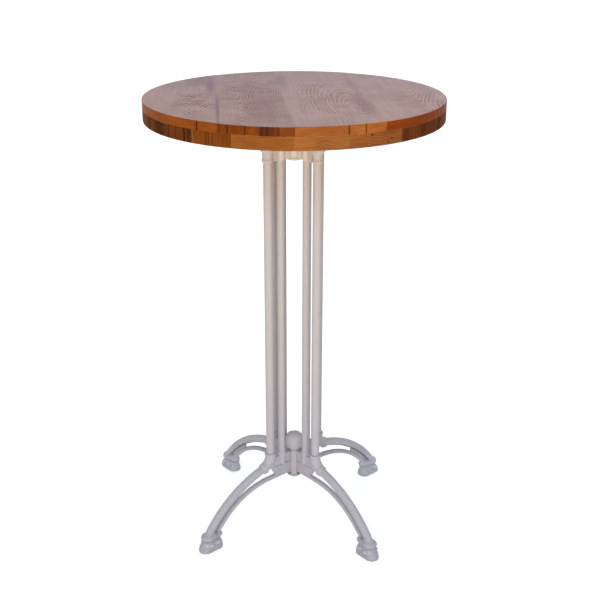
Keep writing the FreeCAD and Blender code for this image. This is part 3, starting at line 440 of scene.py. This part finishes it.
class Shader:
    """Short names for adding and wiring the nodes of a material or of the world."""

    def __init__(self, owner, surface="Principled BSDF"):
        owner.use_nodes = True
        self.owner = owner
        self.tree = owner.node_tree
        self.surface = self.tree.nodes[surface]

    def add(self, kind, **settings):
        """New node with its settings."""
        node = self.tree.nodes.new("ShaderNode" + kind)
        for name, value in settings.items():
            setattr(node, name, value)
        return node

    def feed(self, socket, value):
        """Wire an input to another node's output, or give it a plain value."""
        if isinstance(value, bpy.types.NodeSocket):
            self.tree.links.new(value, socket)
        else:
            socket.default_value = value

    def math(self, operation, first, second=0.0):
        """One sum on one or two numbers."""
        node = self.add("Math", operation=operation)
        self.feed(node.inputs[0], first)
        self.feed(node.inputs[1], second)
        return node.outputs[0]

    def chain(self, operation, first, *others):
        """The same sum on one number after the other."""
        for other in others:
            first = self.math(operation, first, other)
        return first

    def total(self, *numbers):
        """Numbers added up."""
        return self.chain("ADD", *numbers)

    def product(self, *numbers):
        """Numbers multiplied with each other."""
        return self.chain("MULTIPLY", *numbers)

    def greatest(self, *numbers):
        """Greatest of some numbers."""
        return self.chain("MAXIMUM", *numbers)

    def hypotenuse(self, first, second):
        """Long side of a right triangle."""
        squares = self.total(self.product(first, first), self.product(second, second))
        return self.math("SQRT", squares)

    def rise(self, value, low, high, bottom=0.0, top=1.0):
        """Smooth step of a number from low to high."""
        node = self.add("MapRange", interpolation_type="SMOOTHSTEP")
        for index, part in enumerate((value, low, high, bottom, top)):
            self.feed(node.inputs[index], part)
        return node.outputs[0]

    def line(self, value, middle, half, core, strength):
        """Soft line where a number is near its middle, 0 beyond the half width."""
        away = self.math("ABSOLUTE", self.math("SUBTRACT", value, middle))
        return self.rise(away, half, core * half, 0.0, strength)

    def mix(self, share, first, second):
        """Blend of two colours."""
        node = self.add("Mix", data_type="RGBA")
        self.feed(node.inputs[0], share)
        for index, colour in ((MIX_FIRST, first), (MIX_SECOND, second)):
            plain = not isinstance(colour, bpy.types.NodeSocket)
            self.feed(node.inputs[index], (*colour, 1) if plain else colour)
        return node.outputs[MIX_RESULT]

    def scaled(self, colour, share):
        """Colour times a number."""
        node = self.add("VectorMath", operation="SCALE")
        self.feed(node.inputs[0], colour)
        self.feed(node.inputs["Scale"], share)
        return node.outputs[0]

    def ramp(self, value, stops):
        """Colour that runs from stop to stop as a number rises."""
        node = self.add("ValToRGB")
        self.feed(node.inputs[0], value)
        marks = node.color_ramp.elements
        while len(marks) < len(stops):
            marks.new(1.0)
        for mark, (share, colour) in zip(marks, stops):
            mark.position = share
            mark.color = (*colour, 1)
        return node.outputs[0]

    def swing(self, number, reach):
        """Cloudy number turned into an offset to either side of zero."""
        return self.product(self.math("SUBTRACT", number, 0.5), reach)

    def vector(self, operation, first, second):
        """One sum on two vectors."""
        node = self.add("VectorMath", operation=operation)
        self.feed(node.inputs[0], first)
        self.feed(node.inputs[1], second)
        return node.outputs[0]

    def stretched(self, vector, scale):
        """Coordinates times a factor for each axis."""
        return self.vector("MULTIPLY", vector, scale)

    def length(self, vector):
        """Length of a vector."""
        node = self.add("VectorMath", operation="LENGTH")
        self.feed(node.inputs[0], vector)
        return node.outputs["Value"]

    def noise(self, vector, scale, detail, roughness):
        """Cloudy number from 0 to 1."""
        node = self.add("TexNoise")
        self.feed(node.inputs["Vector"], vector)
        self.feed(node.inputs["Scale"], scale)
        self.feed(node.inputs["Detail"], detail)
        self.feed(node.inputs["Roughness"], roughness)
        return node.outputs[0]

    def split(self, vector):
        """The three coordinates of a vector."""
        node = self.add("SeparateXYZ")
        self.feed(node.inputs[0], vector)
        return node.outputs[0], node.outputs[1], node.outputs[2]

    def place(self):
        """Coordinates in the frame of the table."""
        return self.add("TexCoord").outputs["Object"]

    def tilt(self):
        """1 on a face that looks up, 0 on an upright one and -1 on one that looks down."""
        return self.split(self.add("NewGeometry").outputs["Normal"])[2]

    def bump(self, height, distance, strength):
        """Raise the surface by a number."""
        node = self.add("Bump")
        self.feed(node.inputs["Height"], height)
        self.feed(node.inputs["Distance"], distance)
        self.feed(node.inputs["Strength"], strength)
        self.feed(self.surface.inputs["Normal"], node.outputs[0])

    def set(self, **values):
        """Sockets of the surface by name, with spaces written as underscores."""
        for name, value in values.items():
            socket = self.surface.inputs[name.replace("_", " ")]
            if isinstance(value, tuple) and len(value) == 3:
                value = (*value, 1)
            self.feed(socket, value)


def shaded(colour, share):
    """Plain colour times a number."""
    return tuple(part * share for part in colour)


def plank_place(shader):
    """Coordinates across, along and up, turned with the planks."""
    turn = shader.add("Mapping", vector_type="POINT")
    shader.feed(turn.inputs["Vector"], shader.place())
    shader.feed(turn.inputs["Rotation"], (0.0, 0.0, -PLANK_ANGLE))
    return turn.outputs[0]


def ellipse_share(shader, place, across, along, half_across, half_along):
    """Distance from the middle of an ellipse on the face, 1 at its edge."""
    gap = shader.vector("SUBTRACT", place, (across, along, 0.0))
    return shader.length(shader.stretched(gap, (1 / half_across, 1 / half_along, 0.0)))


def ring_shade(shader, place, grain, level, seed):
    """Grain lines of a plank: 0 in pale early wood, 1 on the dark late line."""
    across, along, up = shader.split(place)
    moved = shader.vector("ADD", place, shaded(SEED_SHIFT, seed))
    loose = shader.stretched(moved, WAVE_STRETCH)
    sway = shader.swing(shader.noise(loose, *SWAY_NOISE), grain["wave"])
    dip = shader.swing(shader.noise(loose, *DIP_NOISE), grain["wave"])
    drawn = shader.stretched(moved, RIPPLE_STRETCH)
    quick = shader.swing(shader.noise(drawn, *RIPPLE_NOISE), grain["ripple"])
    heart_across, heart_along = grain["heart"]
    side = shader.total(shader.math("SUBTRACT", across, heart_across), sway)
    lean = shader.product(shader.math("SUBTRACT", along, heart_along), grain["lean"])
    if grain["shape"] == "zigzag":
        side = shader.math("PINGPONG", shader.total(side, ABOVE_ZERO), ZIGZAG_FOLD)
    if grain["shape"] == "rings":
        height = shader.math("SUBTRACT", up, level - grain["depth"])
        radius = shader.hypotenuse(side, shader.total(height, lean, dip))
    else:
        point = shader.hypotenuse(side, FLAME_TIP)
        radius = shader.total(point, lean, shader.total(dip, ABOVE_ZERO))
    if grain["eye"]:
        near = shader.vector("SUBTRACT", place, (*grain["eye"], 0.0))
        near = shader.length(shader.stretched(near, (1.0, EYE_LEAN, 0.0)))
        radius = shader.math("MINIMUM", radius, shader.total(near, EYE_DEPTH, sway))
    turns = shader.math("DIVIDE", shader.total(radius, quick), grain["spacing"])
    ring = shader.math("FRACT", turns)
    line = shader.product(shader.rise(ring, *LINE_IN), shader.rise(ring, *LINE_OUT))
    fade = shader.rise(shader.noise(moved, *FADE_NOISE), *FADE_RISE)
    if grain["figure"]:
        share = ellipse_share(shader, place, *grain["figure"])
        fade = shader.product(fade, shader.rise(share, *FIGURE_RISE))
    return shader.product(line, fade)


def streak_sum(shader, place, streaks):
    """Darkness of the upright streaks across the rim, 0 between them."""
    across, along, _ = shader.split(place)
    angle = shader.math("ARCTAN2", along, across)
    wander = shader.noise(place, *STREAK_NOISE)
    total = 0.0
    for direction, half, strength in streaks:
        wobble = shader.swing(wander, math.radians(half))
        bent = shader.total(shader.math("SUBTRACT", angle, math.radians(direction)), wobble)
        away = shader.math("ABSOLUTE", bent)
        core = math.radians(half * STREAK_CORE)
        streak = shader.rise(away, math.radians(half), core, 0.0, strength)
        total = shader.greatest(total, streak)
    return total


def stain_sum(shader, place, stains):
    """Darkness of the cloudy stains on the top face."""
    ragged = shader.total(shader.noise(place, *STAIN_NOISE), STAIN_LEAST)
    total = 0.0
    for *ellipse, strength in stains:
        share = shader.math("DIVIDE", ellipse_share(shader, place, *ellipse), ragged)
        total = shader.greatest(total, shader.rise(share, *STAIN_SPAN, 0.0, strength))
    return total


def knot_sum(shader, place, knots, radius):
    """Darkness of small knots in the rim."""
    total = 0.0
    for direction, height, size in knots:
        turn = math.radians(direction)
        middle = (radius * math.cos(turn), radius * math.sin(turn), height)
        gap = shader.length(shader.vector("SUBTRACT", place, middle))
        knot = shader.rise(gap, *shaded(KNOT_SPAN, size), 0.0, KNOT_STRENGTH)
        total = shader.greatest(total, knot)
    return total


def rim_colour(shader, grain, rings, cloud, layer):
    """Sawn rim: faint rings, pores, streaks, knots and glue."""
    place = shader.place()
    ends = grain["ends"]
    dark = shaded(ends, STREAK_SHADE)
    colour = shader.mix(shader.product(rings, RIM_RINGS), ends, shaded(ends, RIM_RING_SHADE))
    colour = shader.scaled(colour, shader.rise(cloud, *COARSE_SPAN, *RIM_CLOUD_TONE))
    pores = shader.noise(shader.stretched(plank_place(shader), grain["stripe"]), *PORE_NOISE)
    colour = shader.scaled(colour, shader.rise(pores, *COARSE_SPAN, *PORE_TONE))
    colour = shader.mix(streak_sum(shader, place, layer["streaks"]), colour, dark)
    if layer["knots"]:
        colour = shader.mix(knot_sum(shader, place, layer["knots"], layer["radius"]), colour, dark)
    if layer["glue"]:
        below = shader.math("SUBTRACT", layer["level"], shader.split(place)[2])
        broken = shader.rise(shader.noise(place, *GLUE_NOISE), *GLUE_RISE)
        band = shader.product(shader.rise(below, *GLUE_SPAN), broken)
        seam = streak_sum(shader, place, (GLUE_SEAM,))
        colour = shader.mix(shader.greatest(band, seam), colour, GLUE_COLOUR)
    return colour


def wood_material(name, grain, seed, layer):
    """Oiled plank: fine rings on the pale face, whose paleness is partly painted sheen, richer sawn wood
    on the rim.
    """
    shader = Shader(bpy.data.materials.new(name))
    place = plank_place(shader)
    rings = ring_shade(shader, place, grain, layer["level"], seed)
    fibre = shader.noise(shader.stretched(place, FIBRE_STRETCH), *FIBRE_NOISE)
    cloud = shader.noise(place, CLOUD_SCALE + seed, *CLOUD_DETAIL)
    bands = shader.noise(shader.stretched(place, BAND_STRETCH), *BAND_NOISE)

    # The top face runs from its front colour to its bluer rear colour: painted reflection of the sheen.
    face = shader.mix(shader.rise(shader.split(place)[1], *FACE_SHEEN_SPAN), *layer["faces"])
    face = shader.mix(shader.product(rings, grain["bold"]), face, LINE_COLOUR)
    tone = shaded(CLOUD_TONE, grain["tone"])
    face = shader.scaled(face, shader.rise(cloud, *COARSE_SPAN, *tone))
    face = shader.scaled(face, shader.rise(bands, *COARSE_SPAN, *BAND_TONE))
    for tint, stains in layer["stains"]:
        face = shader.mix(stain_sum(shader, place, stains), face, tint)
    ends = rim_colour(shader, grain, rings, cloud, layer)

    level = shader.rise(shader.math("ABSOLUTE", shader.tilt()), *UP_SPAN)
    colour = shader.mix(level, ends, face)
    colour = shader.scaled(colour, shader.rise(fibre, *FINE_SPAN, *FIBRE_TONE))
    rough = shader.total(shader.product(rings, RING_ROUGHNESS),
                         shader.rise(fibre, *FINE_SPAN, *FIBRE_ROUGHNESS))
    shader.set(Base_Color=colour, Roughness=rough, IOR=layer["ior"])
    shader.bump(shader.total(shader.product(rings, RING_GROOVE), fibre), *WOOD_BUMP)
    return shader.owner


def axis_reach(shader, place):
    """Distance from the upright axis of the table."""
    return shader.length(shader.stretched(place, (1.0, 1.0, 0.0)))


def seam_shade_and_dirt(shader, place, cloud):
    """Dark lines between leg and rib, below the step of the webs and below the cuffs; those between leg
    and rib and below the cuffs are painted shade.
    """
    reach = axis_reach(shader, place)
    _, depth, height = shader.split(place)
    middle_reach, middle_height = CREVICE_MIDDLE
    radius = shader.hypotenuse(shader.math("SUBTRACT", reach, middle_reach),
                               shader.math("SUBTRACT", height, middle_height))
    radius = shader.total(radius, shader.rise(depth, *CREVICE_FRONT))
    crevice = shader.product(shader.line(radius, *CREVICE_LINE), shader.rise(height, *CREVICE_HEIGHT),
                             shader.rise(reach, *CREVICE_REACH))
    step = shader.product(shader.line(height, *STEP_LINE), shader.rise(reach, *STEP_START),
                          shader.rise(reach, *STEP_END))
    cuff = shader.product(shader.line(height, *CUFF_LINE), shader.rise(reach, *FOOT_REACH))
    return shader.product(shader.greatest(crevice, step, cuff), shader.rise(cloud, *GRIME_AND_SHADE_RISE))


def ledge_mask(shader, place, heights, tilt):
    """1 on the faces of the ledges between two heights that tilt up or down."""
    reach = axis_reach(shader, place)
    height = shader.split(place)[2]
    low, high = heights
    return shader.product(shader.rise(height, low, low + LEDGE_SOFT),
                          shader.rise(height, high, high - LEDGE_SOFT),
                          shader.rise(reach, *FOOT_REACH), shader.rise(reach, *LEDGE_REACH),
                          shader.rise(shader.tilt(), *tilt))


def painted_light_lift(shader, place):
    """Factor above 1 on the rear feet and the top hub: painted light where they lie in shade."""
    _, depth, height = shader.split(place)
    reach = axis_reach(shader, place)
    feet = shader.product(shader.rise(depth, *REAR_RISE), shader.rise(height, *REAR_HEIGHT))
    hub = shader.product(shader.rise(reach, *HUB_RISE), shader.rise(height, *HUB_HEIGHT))
    return shader.total(feet, hub, 1.0)


def paint_material(name, relief_scale, blotch, grime_and_shade, wear=0.0, stretch=EVEN, seams=False):
    """Aged off-white paint: soft clouds of pink and grey, rubbed edges, brown grime and painted shade in
    the joints and hollows.
    """
    shader = Shader(bpy.data.materials.new(name))
    place = shader.place()
    height = shader.split(place)[2]
    loose = shader.stretched(place, stretch)
    blush = shader.noise(loose, *BLUSH_NOISE)
    chill = shader.noise(loose, *CHILL_NOISE)
    relief = shader.noise(loose, relief_scale, *RELIEF_DETAIL)

    # Painted light: the paint is cooler and darker towards the floor and warmer towards the top.
    colour = shader.ramp(shader.math("DIVIDE", height, cad_high.z), PAINT_AND_LIGHT_STOPS)
    colour = shader.mix(shader.rise(blush, *BLOTCH_SPAN, 0.0, blotch), colour, PAINT_PINK)
    colour = shader.mix(shader.rise(chill, *BLOTCH_SPAN, 0.0, blotch), colour, PAINT_GREY)
    colour = shader.scaled(colour, shader.rise(relief, *FINE_SPAN, *RELIEF_TONE))
    if seams:
        # Painted light on the rear feet and the top hub
        colour = shader.scaled(colour, painted_light_lift(shader, place))

    edge = shader.rise(shader.add("NewGeometry").outputs["Pointiness"], *EDGE_SPAN)
    rubbed = shader.product(edge, shader.rise(relief, *WEAR_SPAN, 0.0, wear))
    colour = shader.mix(rubbed, colour, PAINT_WORN)

    # Grime and painted shade: darker where ambient occlusion finds a hollow.
    shelter = shader.add("AmbientOcclusion", samples=HOLLOW_SAMPLES)
    shader.feed(shelter.inputs["Distance"], HOLLOW_DISTANCE)
    hollow = shader.rise(shelter.outputs["AO"], *HOLLOW_SPAN, 0.0, grime_and_shade)
    hollow = shader.product(hollow, shader.rise(blush, *GRIME_AND_SHADE_RISE))
    if seams:
        # Painted highlight on the ledge tops and painted shade under them
        tops = shader.product(ledge_mask(shader, place, LEDGE_BRIGHT, LEDGE_UP), LEDGE_SHINE)
        colour = shader.mix(tops, colour, PAINT_HIGHLIGHT)
        under = shader.product(ledge_mask(shader, place, LEDGE_DARK, LEDGE_DOWN), LEDGE_UNDER_SHADE)
        hollow = shader.product(hollow, shader.rise(height, *JOINT_RISE))
        hollow = shader.greatest(hollow, under, seam_shade_and_dirt(shader, place, blush))
    colour = shader.mix(hollow, colour, PAINT_GRIME_AND_SHADE)

    shader.set(Base_Color=colour, Roughness=shader.rise(relief, *FINE_SPAN, *PAINT_ROUGHNESS),
               IOR=PAINT_IOR, Specular_IOR_Level=PAINT_SPECULAR)
    shader.bump(relief, *PAINT_BUMP)
    return shader.owner


def steel_material():
    """Plain plated steel with fine scratches."""
    shader = Shader(bpy.data.materials.new("plain_steel"))
    scratch = shader.noise(shader.stretched(shader.place(), STEEL_STRETCH), *STEEL_NOISE)
    shader.set(Base_Color=STEEL_COLOUR, Metallic=1.0,
               Roughness=shader.rise(scratch, *FINE_SPAN, *STEEL_ROUGHNESS))
    shader.bump(scratch, *STEEL_BUMP)
    return shader.owner


def nylon_material():
    """Matt moulded nylon with scuffs."""
    shader = Shader(bpy.data.materials.new("glide_nylon"))
    scuff = shader.noise(shader.place(), *NYLON_NOISE)
    colour = shader.mix(shader.rise(scuff, *NYLON_SPAN), NYLON_COLOUR, shaded(NYLON_COLOUR, NYLON_SCUFF))
    shader.set(Base_Color=colour, Roughness=shader.rise(scuff, *FINE_SPAN, *NYLON_ROUGHNESS))
    shader.bump(scuff, *NYLON_BUMP)
    return shader.owner


def add_piece(name, mesh, node, material):
    """New piece that stands for a CAD node and rides on the table."""
    piece = bpy.data.objects.new(name, mesh)
    bpy.context.scene.collection.objects.link(piece)
    mesh.materials.clear()
    mesh.materials.append(material)
    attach(piece, ROOT_BODY)
    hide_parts(node)
    return piece


def bridge(build, loops):
    """Faces between each loop of points and the next."""
    for loop, above in zip(loops, loops[1:]):
        for step in range(len(loop)):
            after = (step + 1) % len(loop)
            build.faces.new((loop[step], loop[after], above[after], above[step]))


def plank_sides(node):
    """Least and greatest place of a plank across the grain."""
    places = [vertex.co.dot(PLANK_ACROSS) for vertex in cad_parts[node].data.vertices]
    return min(places), max(places)


def rim_points(radius, start, stop, cracks):
    """Points of the rim from one direction to the next, with a notch at each crack."""
    count = max(2, math.ceil((stop - start) / RIM_STEP))
    turns = [(start + (stop - start) * step / count, radius) for step in range(count + 1)]
    half = CRACK_WIDTH / 2 / radius
    for direction in cracks:
        if start + 2 * half < direction < stop - 2 * half:
            turns = [item for item in turns if abs(item[0] - direction) > 2 * half]
            turns.append((direction - half, radius))
            turns.append((direction, radius - CRACK_DEPTH))
            turns.append((direction + half, radius))
    turns.sort()
    return [Vector((math.cos(turn) * reach, math.sin(turn) * reach, 0)) for turn, reach in turns]


def plank_outline(left, right, radius, cracks):
    """Closed outline of the strip of the round top between two lines along the grain."""
    def rim_direction(across, front):
        reach = max(-1.0, min(1.0, across / radius))
        lift = math.asin(reach)
        return PLANK_ANGLE - QUARTER_TURN + lift if front else PLANK_ANGLE + QUARTER_TURN - lift

    front = rim_points(radius, rim_direction(left, True), rim_direction(right, True), cracks)
    back = rim_points(radius, rim_direction(right, False), rim_direction(left, False), ())
    points = front + back
    followers = points[1:] + points[:1]
    return [point for point, follower in zip(points, followers)
            if (point - follower).length > SAME_PLACE]


def plank_mesh(node, layer):
    """Plank with square seams, and weights on the edges of its rim that are to be rounded."""
    radius = layer["radius"]
    left, right = plank_sides(node)
    low, high = (corner.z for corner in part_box(node))
    left += SEAM_GAP if left > -radius + SEAM_GAP else 0.0
    right -= SEAM_GAP if right < radius - SEAM_GAP else 0.0
    cracks = [math.radians(turn) for turn in layer["cracks"]]
    outline = plank_outline(left, right, radius, cracks)
    build = bmesh.new()
    loops = [[build.verts.new((point.x, point.y, level)) for point in outline] for level in (low, high)]
    build.faces.new(loops[0])
    build.faces.new(loops[1])
    bridge(build, loops)
    bmesh.ops.recalc_face_normals(build, faces=build.faces)
    weight = build.edges.layers.float.new("bevel_weight_edge")
    outer_level = high if layer["rounded_top"] else low
    for edge in build.edges:
        outer = all(abs(vertex.co.z - outer_level) < SAME_PLACE for vertex in edge.verts)
        middle = (edge.verts[0].co + edge.verts[1].co) / 2
        if outer and middle.xy.length > radius - CRACK_DEPTH:
            edge[weight] = 1.0
    mesh = bpy.data.meshes.new(node + "_board")
    build.to_mesh(mesh)
    build.free()
    return mesh


def make_planks(label, grains, slot, **finish):
    """Every plank of one layer, with its own grain."""
    nodes = [f"{label}_{index}" for index in range(1, len(grains) + 1)]
    radius = max(vertex.co.xy.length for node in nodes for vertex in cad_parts[node].data.vertices)
    layer = {"radius": radius, "level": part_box(nodes[0])[1].z, **finish}
    for seed, (node, grain) in enumerate(zip(nodes, grains), start=1):
        material = wood_material(f"{node}_wood", grain, seed, layer)
        mesh = plank_mesh(node, layer)
        piece = add_piece(f"{node}_board", mesh, node, material)
        bevel = piece.modifiers.new("eased_edges", "BEVEL")
        bevel.limit_method = "WEIGHT"
        bevel.width = RIM_ROUND
        bevel.segments = ROUND_SEGMENTS
        bevel.harden_normals = True
        mesh.shade_smooth()
        mesh.set_sharp_from_angle(angle=SHARP_EDGE)


def cuff_swelling(build):
    """Swelling round the egg that two circles make, domed on top."""
    loops = []
    for inset, height in CUFF_SECTIONS:
        loop = []
        for step in range(CUFF_STEPS):
            turn = math.tau * step / CUFF_STEPS
            outward = Vector((math.cos(turn), math.sin(turn), 0))
            middle, radius = max((CUFF_HEEL, CUFF_TOE),
                                 key=lambda circle: circle[0] * outward.x + circle[1])
            loop.append(build.verts.new(Vector((middle, 0, height)) + outward * (radius - inset)))
        loops.append(loop)
    build.faces.new(loops[0])
    build.faces.new(loops[-1])
    bridge(build, loops)


def flank_ledges(build):
    """Ledges on both flanks of a foot, sloped on top and cut under below."""
    for (middle, half), section in zip(LEDGES, LEDGE_SECTIONS):
        for side in (1, -1):
            ends = [[build.verts.new((middle + end, side * width, height)) for width, height in section]
                    for end in (-half, half)]
            build.faces.new(ends[0])
            build.faces.new(ends[1][::-1])
            bridge(build, ends)


def foot_details(mesh, turn):
    """Add the cuff and the ledges to the mesh of a leg that points in a direction."""
    build = bmesh.new()
    cuff_swelling(build)
    flank_ledges(build)
    bmesh.ops.recalc_face_normals(build, faces=build.faces)
    bmesh.ops.rotate(build, verts=build.verts, matrix=Matrix.Rotation(turn, 3, "Z"))
    build.from_mesh(mesh)
    build.to_mesh(mesh)
    build.free()


def smooth_step(value, low, high):
    """0 below low, 1 above high and a soft run between them."""
    share = max(0.0, min(1.0, (value - low) / (high - low)))
    return share * share * (3 - 2 * share)


def pinch_foot(mesh, turn):
    """Draw the neck and the cuff of a foot in towards the middle of its leg's end."""
    ahead = Vector((math.cos(turn), math.sin(turn), 0))
    for vertex in mesh.vertices:
        reach = vertex.co.dot(ahead)
        height = vertex.co.z
        share = smooth_step(reach, *PINCH_REACH)
        share *= smooth_step(height, *PINCH_RISE) * (1 - smooth_step(height, *PINCH_FALL))
        if share > 0:
            off = Vector((vertex.co.x, vertex.co.y, 0)) - ahead * PINCH_MIDDLE
            vertex.co -= off * (PINCH * share)


def softened(node, keep, turn=None):
    """Mesh of a casting with its inner corners filled and its edges rubbed round. Where the direction
    of a leg is given, its foot gets its details too."""
    source = bpy.data.objects.new(node + "_source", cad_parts[node].data.copy())
    if turn is not None:
        foot_details(source.data, turn)
    bpy.context.scene.collection.objects.link(source)
    weld = source.modifiers.new("weld", "WELD")
    weld.merge_threshold = CAST_WELD
    remesh = source.modifiers.new("remesh", "REMESH")
    remesh.mode = "VOXEL"
    remesh.voxel_size = CAST_VOXEL
    smooth = source.modifiers.new("smooth", "SMOOTH")
    smooth.factor = CAST_SMOOTH
    smooth.iterations = CAST_SMOOTH_ROUNDS
    thin = source.modifiers.new("thin", "DECIMATE")
    thin.ratio = keep
    graph = bpy.context.evaluated_depsgraph_get()
    mesh = bpy.data.meshes.new_from_object(source.evaluated_get(graph))
    bpy.data.objects.remove(source)
    if turn is not None:
        pinch_foot(mesh, turn)
    mesh.shade_smooth()
    return mesh


def make_castings(material):
    """Legs and brackets, softened once at one corner and turned to the others, and both hubs."""
    first = CORNERS.index(MODEL_CORNER)
    for kind in ("leg", "bracket"):
        turn = QUARTER_TURN * (first + 0.5) if kind == "leg" else None
        model = softened(f"{kind}_{MODEL_CORNER}", CAST_KEEP, turn)
        for index, corner in enumerate(CORNERS):
            mesh = model.copy()
            mesh.transform(Matrix.Rotation(QUARTER_TURN * (index - first), 4, "Z"))
            add_piece(f"{kind}_{corner}_casting", mesh, f"{kind}_{corner}", material)
    for node in ("base_hub", "top_hub"):
        add_piece(f"{node}_casting", softened(node, HUB_KEEP), node, material)


def make_dome(material):
    """Turned dome with a straight wall in place of the round one."""
    low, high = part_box("dome_cap")
    radius = (high.x - low.x) / 2
    turns = [math.tau * step / DOME_STEPS for step in range(DOME_STEPS)]
    build = bmesh.new()
    loops = []
    for share, rise in DOME_PROFILE:
        reach = share * radius
        height = low.z + rise * (high.z - low.z)
        loops.append([build.verts.new((reach * math.cos(turn), reach * math.sin(turn), height))
                      for turn in turns])
    bridge(build, loops)
    build.faces.new(loops[0][::-1])
    crown = build.verts.new((0, 0, high.z))
    for step in range(DOME_STEPS):
        build.faces.new((loops[-1][step], loops[-1][(step + 1) % DOME_STEPS], crown))
    bmesh.ops.recalc_face_normals(build, faces=build.faces)
    mesh = bpy.data.meshes.new("dome_cap_turned")
    build.to_mesh(mesh)
    build.free()
    add_piece("dome_cap_turned", mesh, "dome_cap", material)
    mesh.shade_smooth()
    mesh.set_sharp_from_angle(angle=SHARP_EDGE)


def finish_node(node, material):
    """Better finish on a CAD node whose shape is right."""
    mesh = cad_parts[node].data
    mesh.materials.clear()
    mesh.materials.append(material)
    mesh.shade_smooth()


def seen_directly(shader):
    """1 for what the camera sees straight on, in a reflection or through glass."""
    path = shader.add("LightPath").outputs
    return shader.greatest(path["Is Camera Ray"], path["Is Glossy Ray"], path["Is Transmission Ray"])


def make_stage():
    """Pale floor that keeps the shadow and a white surround."""
    mesh = bpy.data.meshes.new("floor")
    half = FLOOR_SIZE / 2
    corners = [(-half, -half, 0), (half, -half, 0), (half, half, 0), (-half, half, 0)]
    mesh.from_pydata(corners, [], [(0, 1, 2, 3)])
    floor = bpy.data.objects.new("floor", mesh)
    bpy.context.scene.collection.objects.link(floor)
    shader = Shader(bpy.data.materials.new("pale_floor"))
    glow = shader.product(seen_directly(shader), shader.rise(shader.length(shader.place()), *FLOOR_GLOW))
    shader.set(Base_Color=FLOOR_COLOUR, Roughness=FLOOR_ROUGHNESS, Emission_Color=WHITE,
               Emission_Strength=glow)
    mesh.materials.append(shader.owner)

    sky = Shader(bpy.data.worlds.new("studio"), "Background")
    sky.set(Color=sky.mix(seen_directly(sky), SKY_FILL, WHITE))
    bpy.context.scene.world = sky.owner


def make_lights():
    """Large soft lamps that point at the middle of the table."""
    middle = (cad_low + cad_high) / 2
    for name, place, size, power, colour in LAMPS:
        lamp = bpy.data.lights.new(name, "AREA")
        lamp.shape = "SQUARE"
        lamp.size = size
        lamp.energy = power
        lamp.color = colour
        light = bpy.data.objects.new(name, lamp)
        light.location = place
        light.rotation_euler = (middle - Vector(place)).to_track_quat("-Z", "Y").to_euler()
        bpy.context.scene.collection.objects.link(light)


def make_camera():
    """Camera of the photograph."""
    data = bpy.data.cameras.new("photo_camera")
    data.lens = CAMERA_LENS_MM
    data.sensor_width = CAMERA_SENSOR_MM
    data.shift_x = CAMERA_SHIFT
    camera = bpy.data.objects.new("photo_camera", data)
    sine, cosine = math.sin(CAMERA_AZIMUTH), math.cos(CAMERA_AZIMUTH)
    camera.location = (sine * CAMERA_DISTANCE, -cosine * CAMERA_DISTANCE, CAMERA_HEIGHT)
    level = Vector((-sine, cosine, 0))
    ahead = level * math.cos(CAMERA_PITCH) - Vector((0, 0, math.sin(CAMERA_PITCH)))
    camera.rotation_euler = ahead.to_track_quat("-Z", "Y").to_euler()
    bpy.context.scene.collection.objects.link(camera)
    bpy.context.scene.camera = camera


make_planks("upper_plank", UPPER_GRAIN, "upper_wood", rounded_top=True, streaks=UPPER_STREAKS_AND_CRACK_SHADE,
            stains=((DUSK_COLOUR, DUSKY_STAINS), (ROSE_COLOUR, ROSY_STAINS)), cracks=CRACKS, knots=(),
            glue=False, faces=(FACE_COLOUR_AND_SHEEN, FACE_REAR_AND_SHEEN), ior=UPPER_IOR)
make_planks("lower_plank", LOWER_GRAIN, "lower_wood", rounded_top=False, streaks=LOWER_STREAKS,
            stains=(), cracks=(), knots=KNOTS, glue=True, faces=(UNDER_COLOUR, UNDER_COLOUR),
            ior=LOWER_IOR)

cast_paint = paint_material("cast_paint", relief_scale=190.0, blotch=0.20, grime_and_shade=0.85, wear=0.40,
                            seams=True)
tube_paint = paint_material("tube_paint", relief_scale=120.0, blotch=0.22, grime_and_shade=0.10, stretch=DRAWN_UP)
dome_paint = paint_material("dome_paint", relief_scale=190.0, blotch=0.20, grime_and_shade=0.30)
steel = steel_material()
nylon = nylon_material()
make_castings(cast_paint)
finish_node("dome_spacer", cast_paint)
make_dome(dome_paint)
for corner in CORNERS:
    finish_node(f"outer_column_{corner}", tube_paint)
    finish_node(f"inner_column_{corner}", tube_paint)
    finish_node(f"tie_rod_{corner}", steel)
    finish_node(f"glide_stud_{corner}", steel)
    finish_node(f"glide_pad_{corner}", nylon)
for node in STEEL_NODES:
    finish_node(node, steel)

make_stage()
make_lights()
make_camera()
bpy.context.scene.view_settings.view_transform = "Standard"
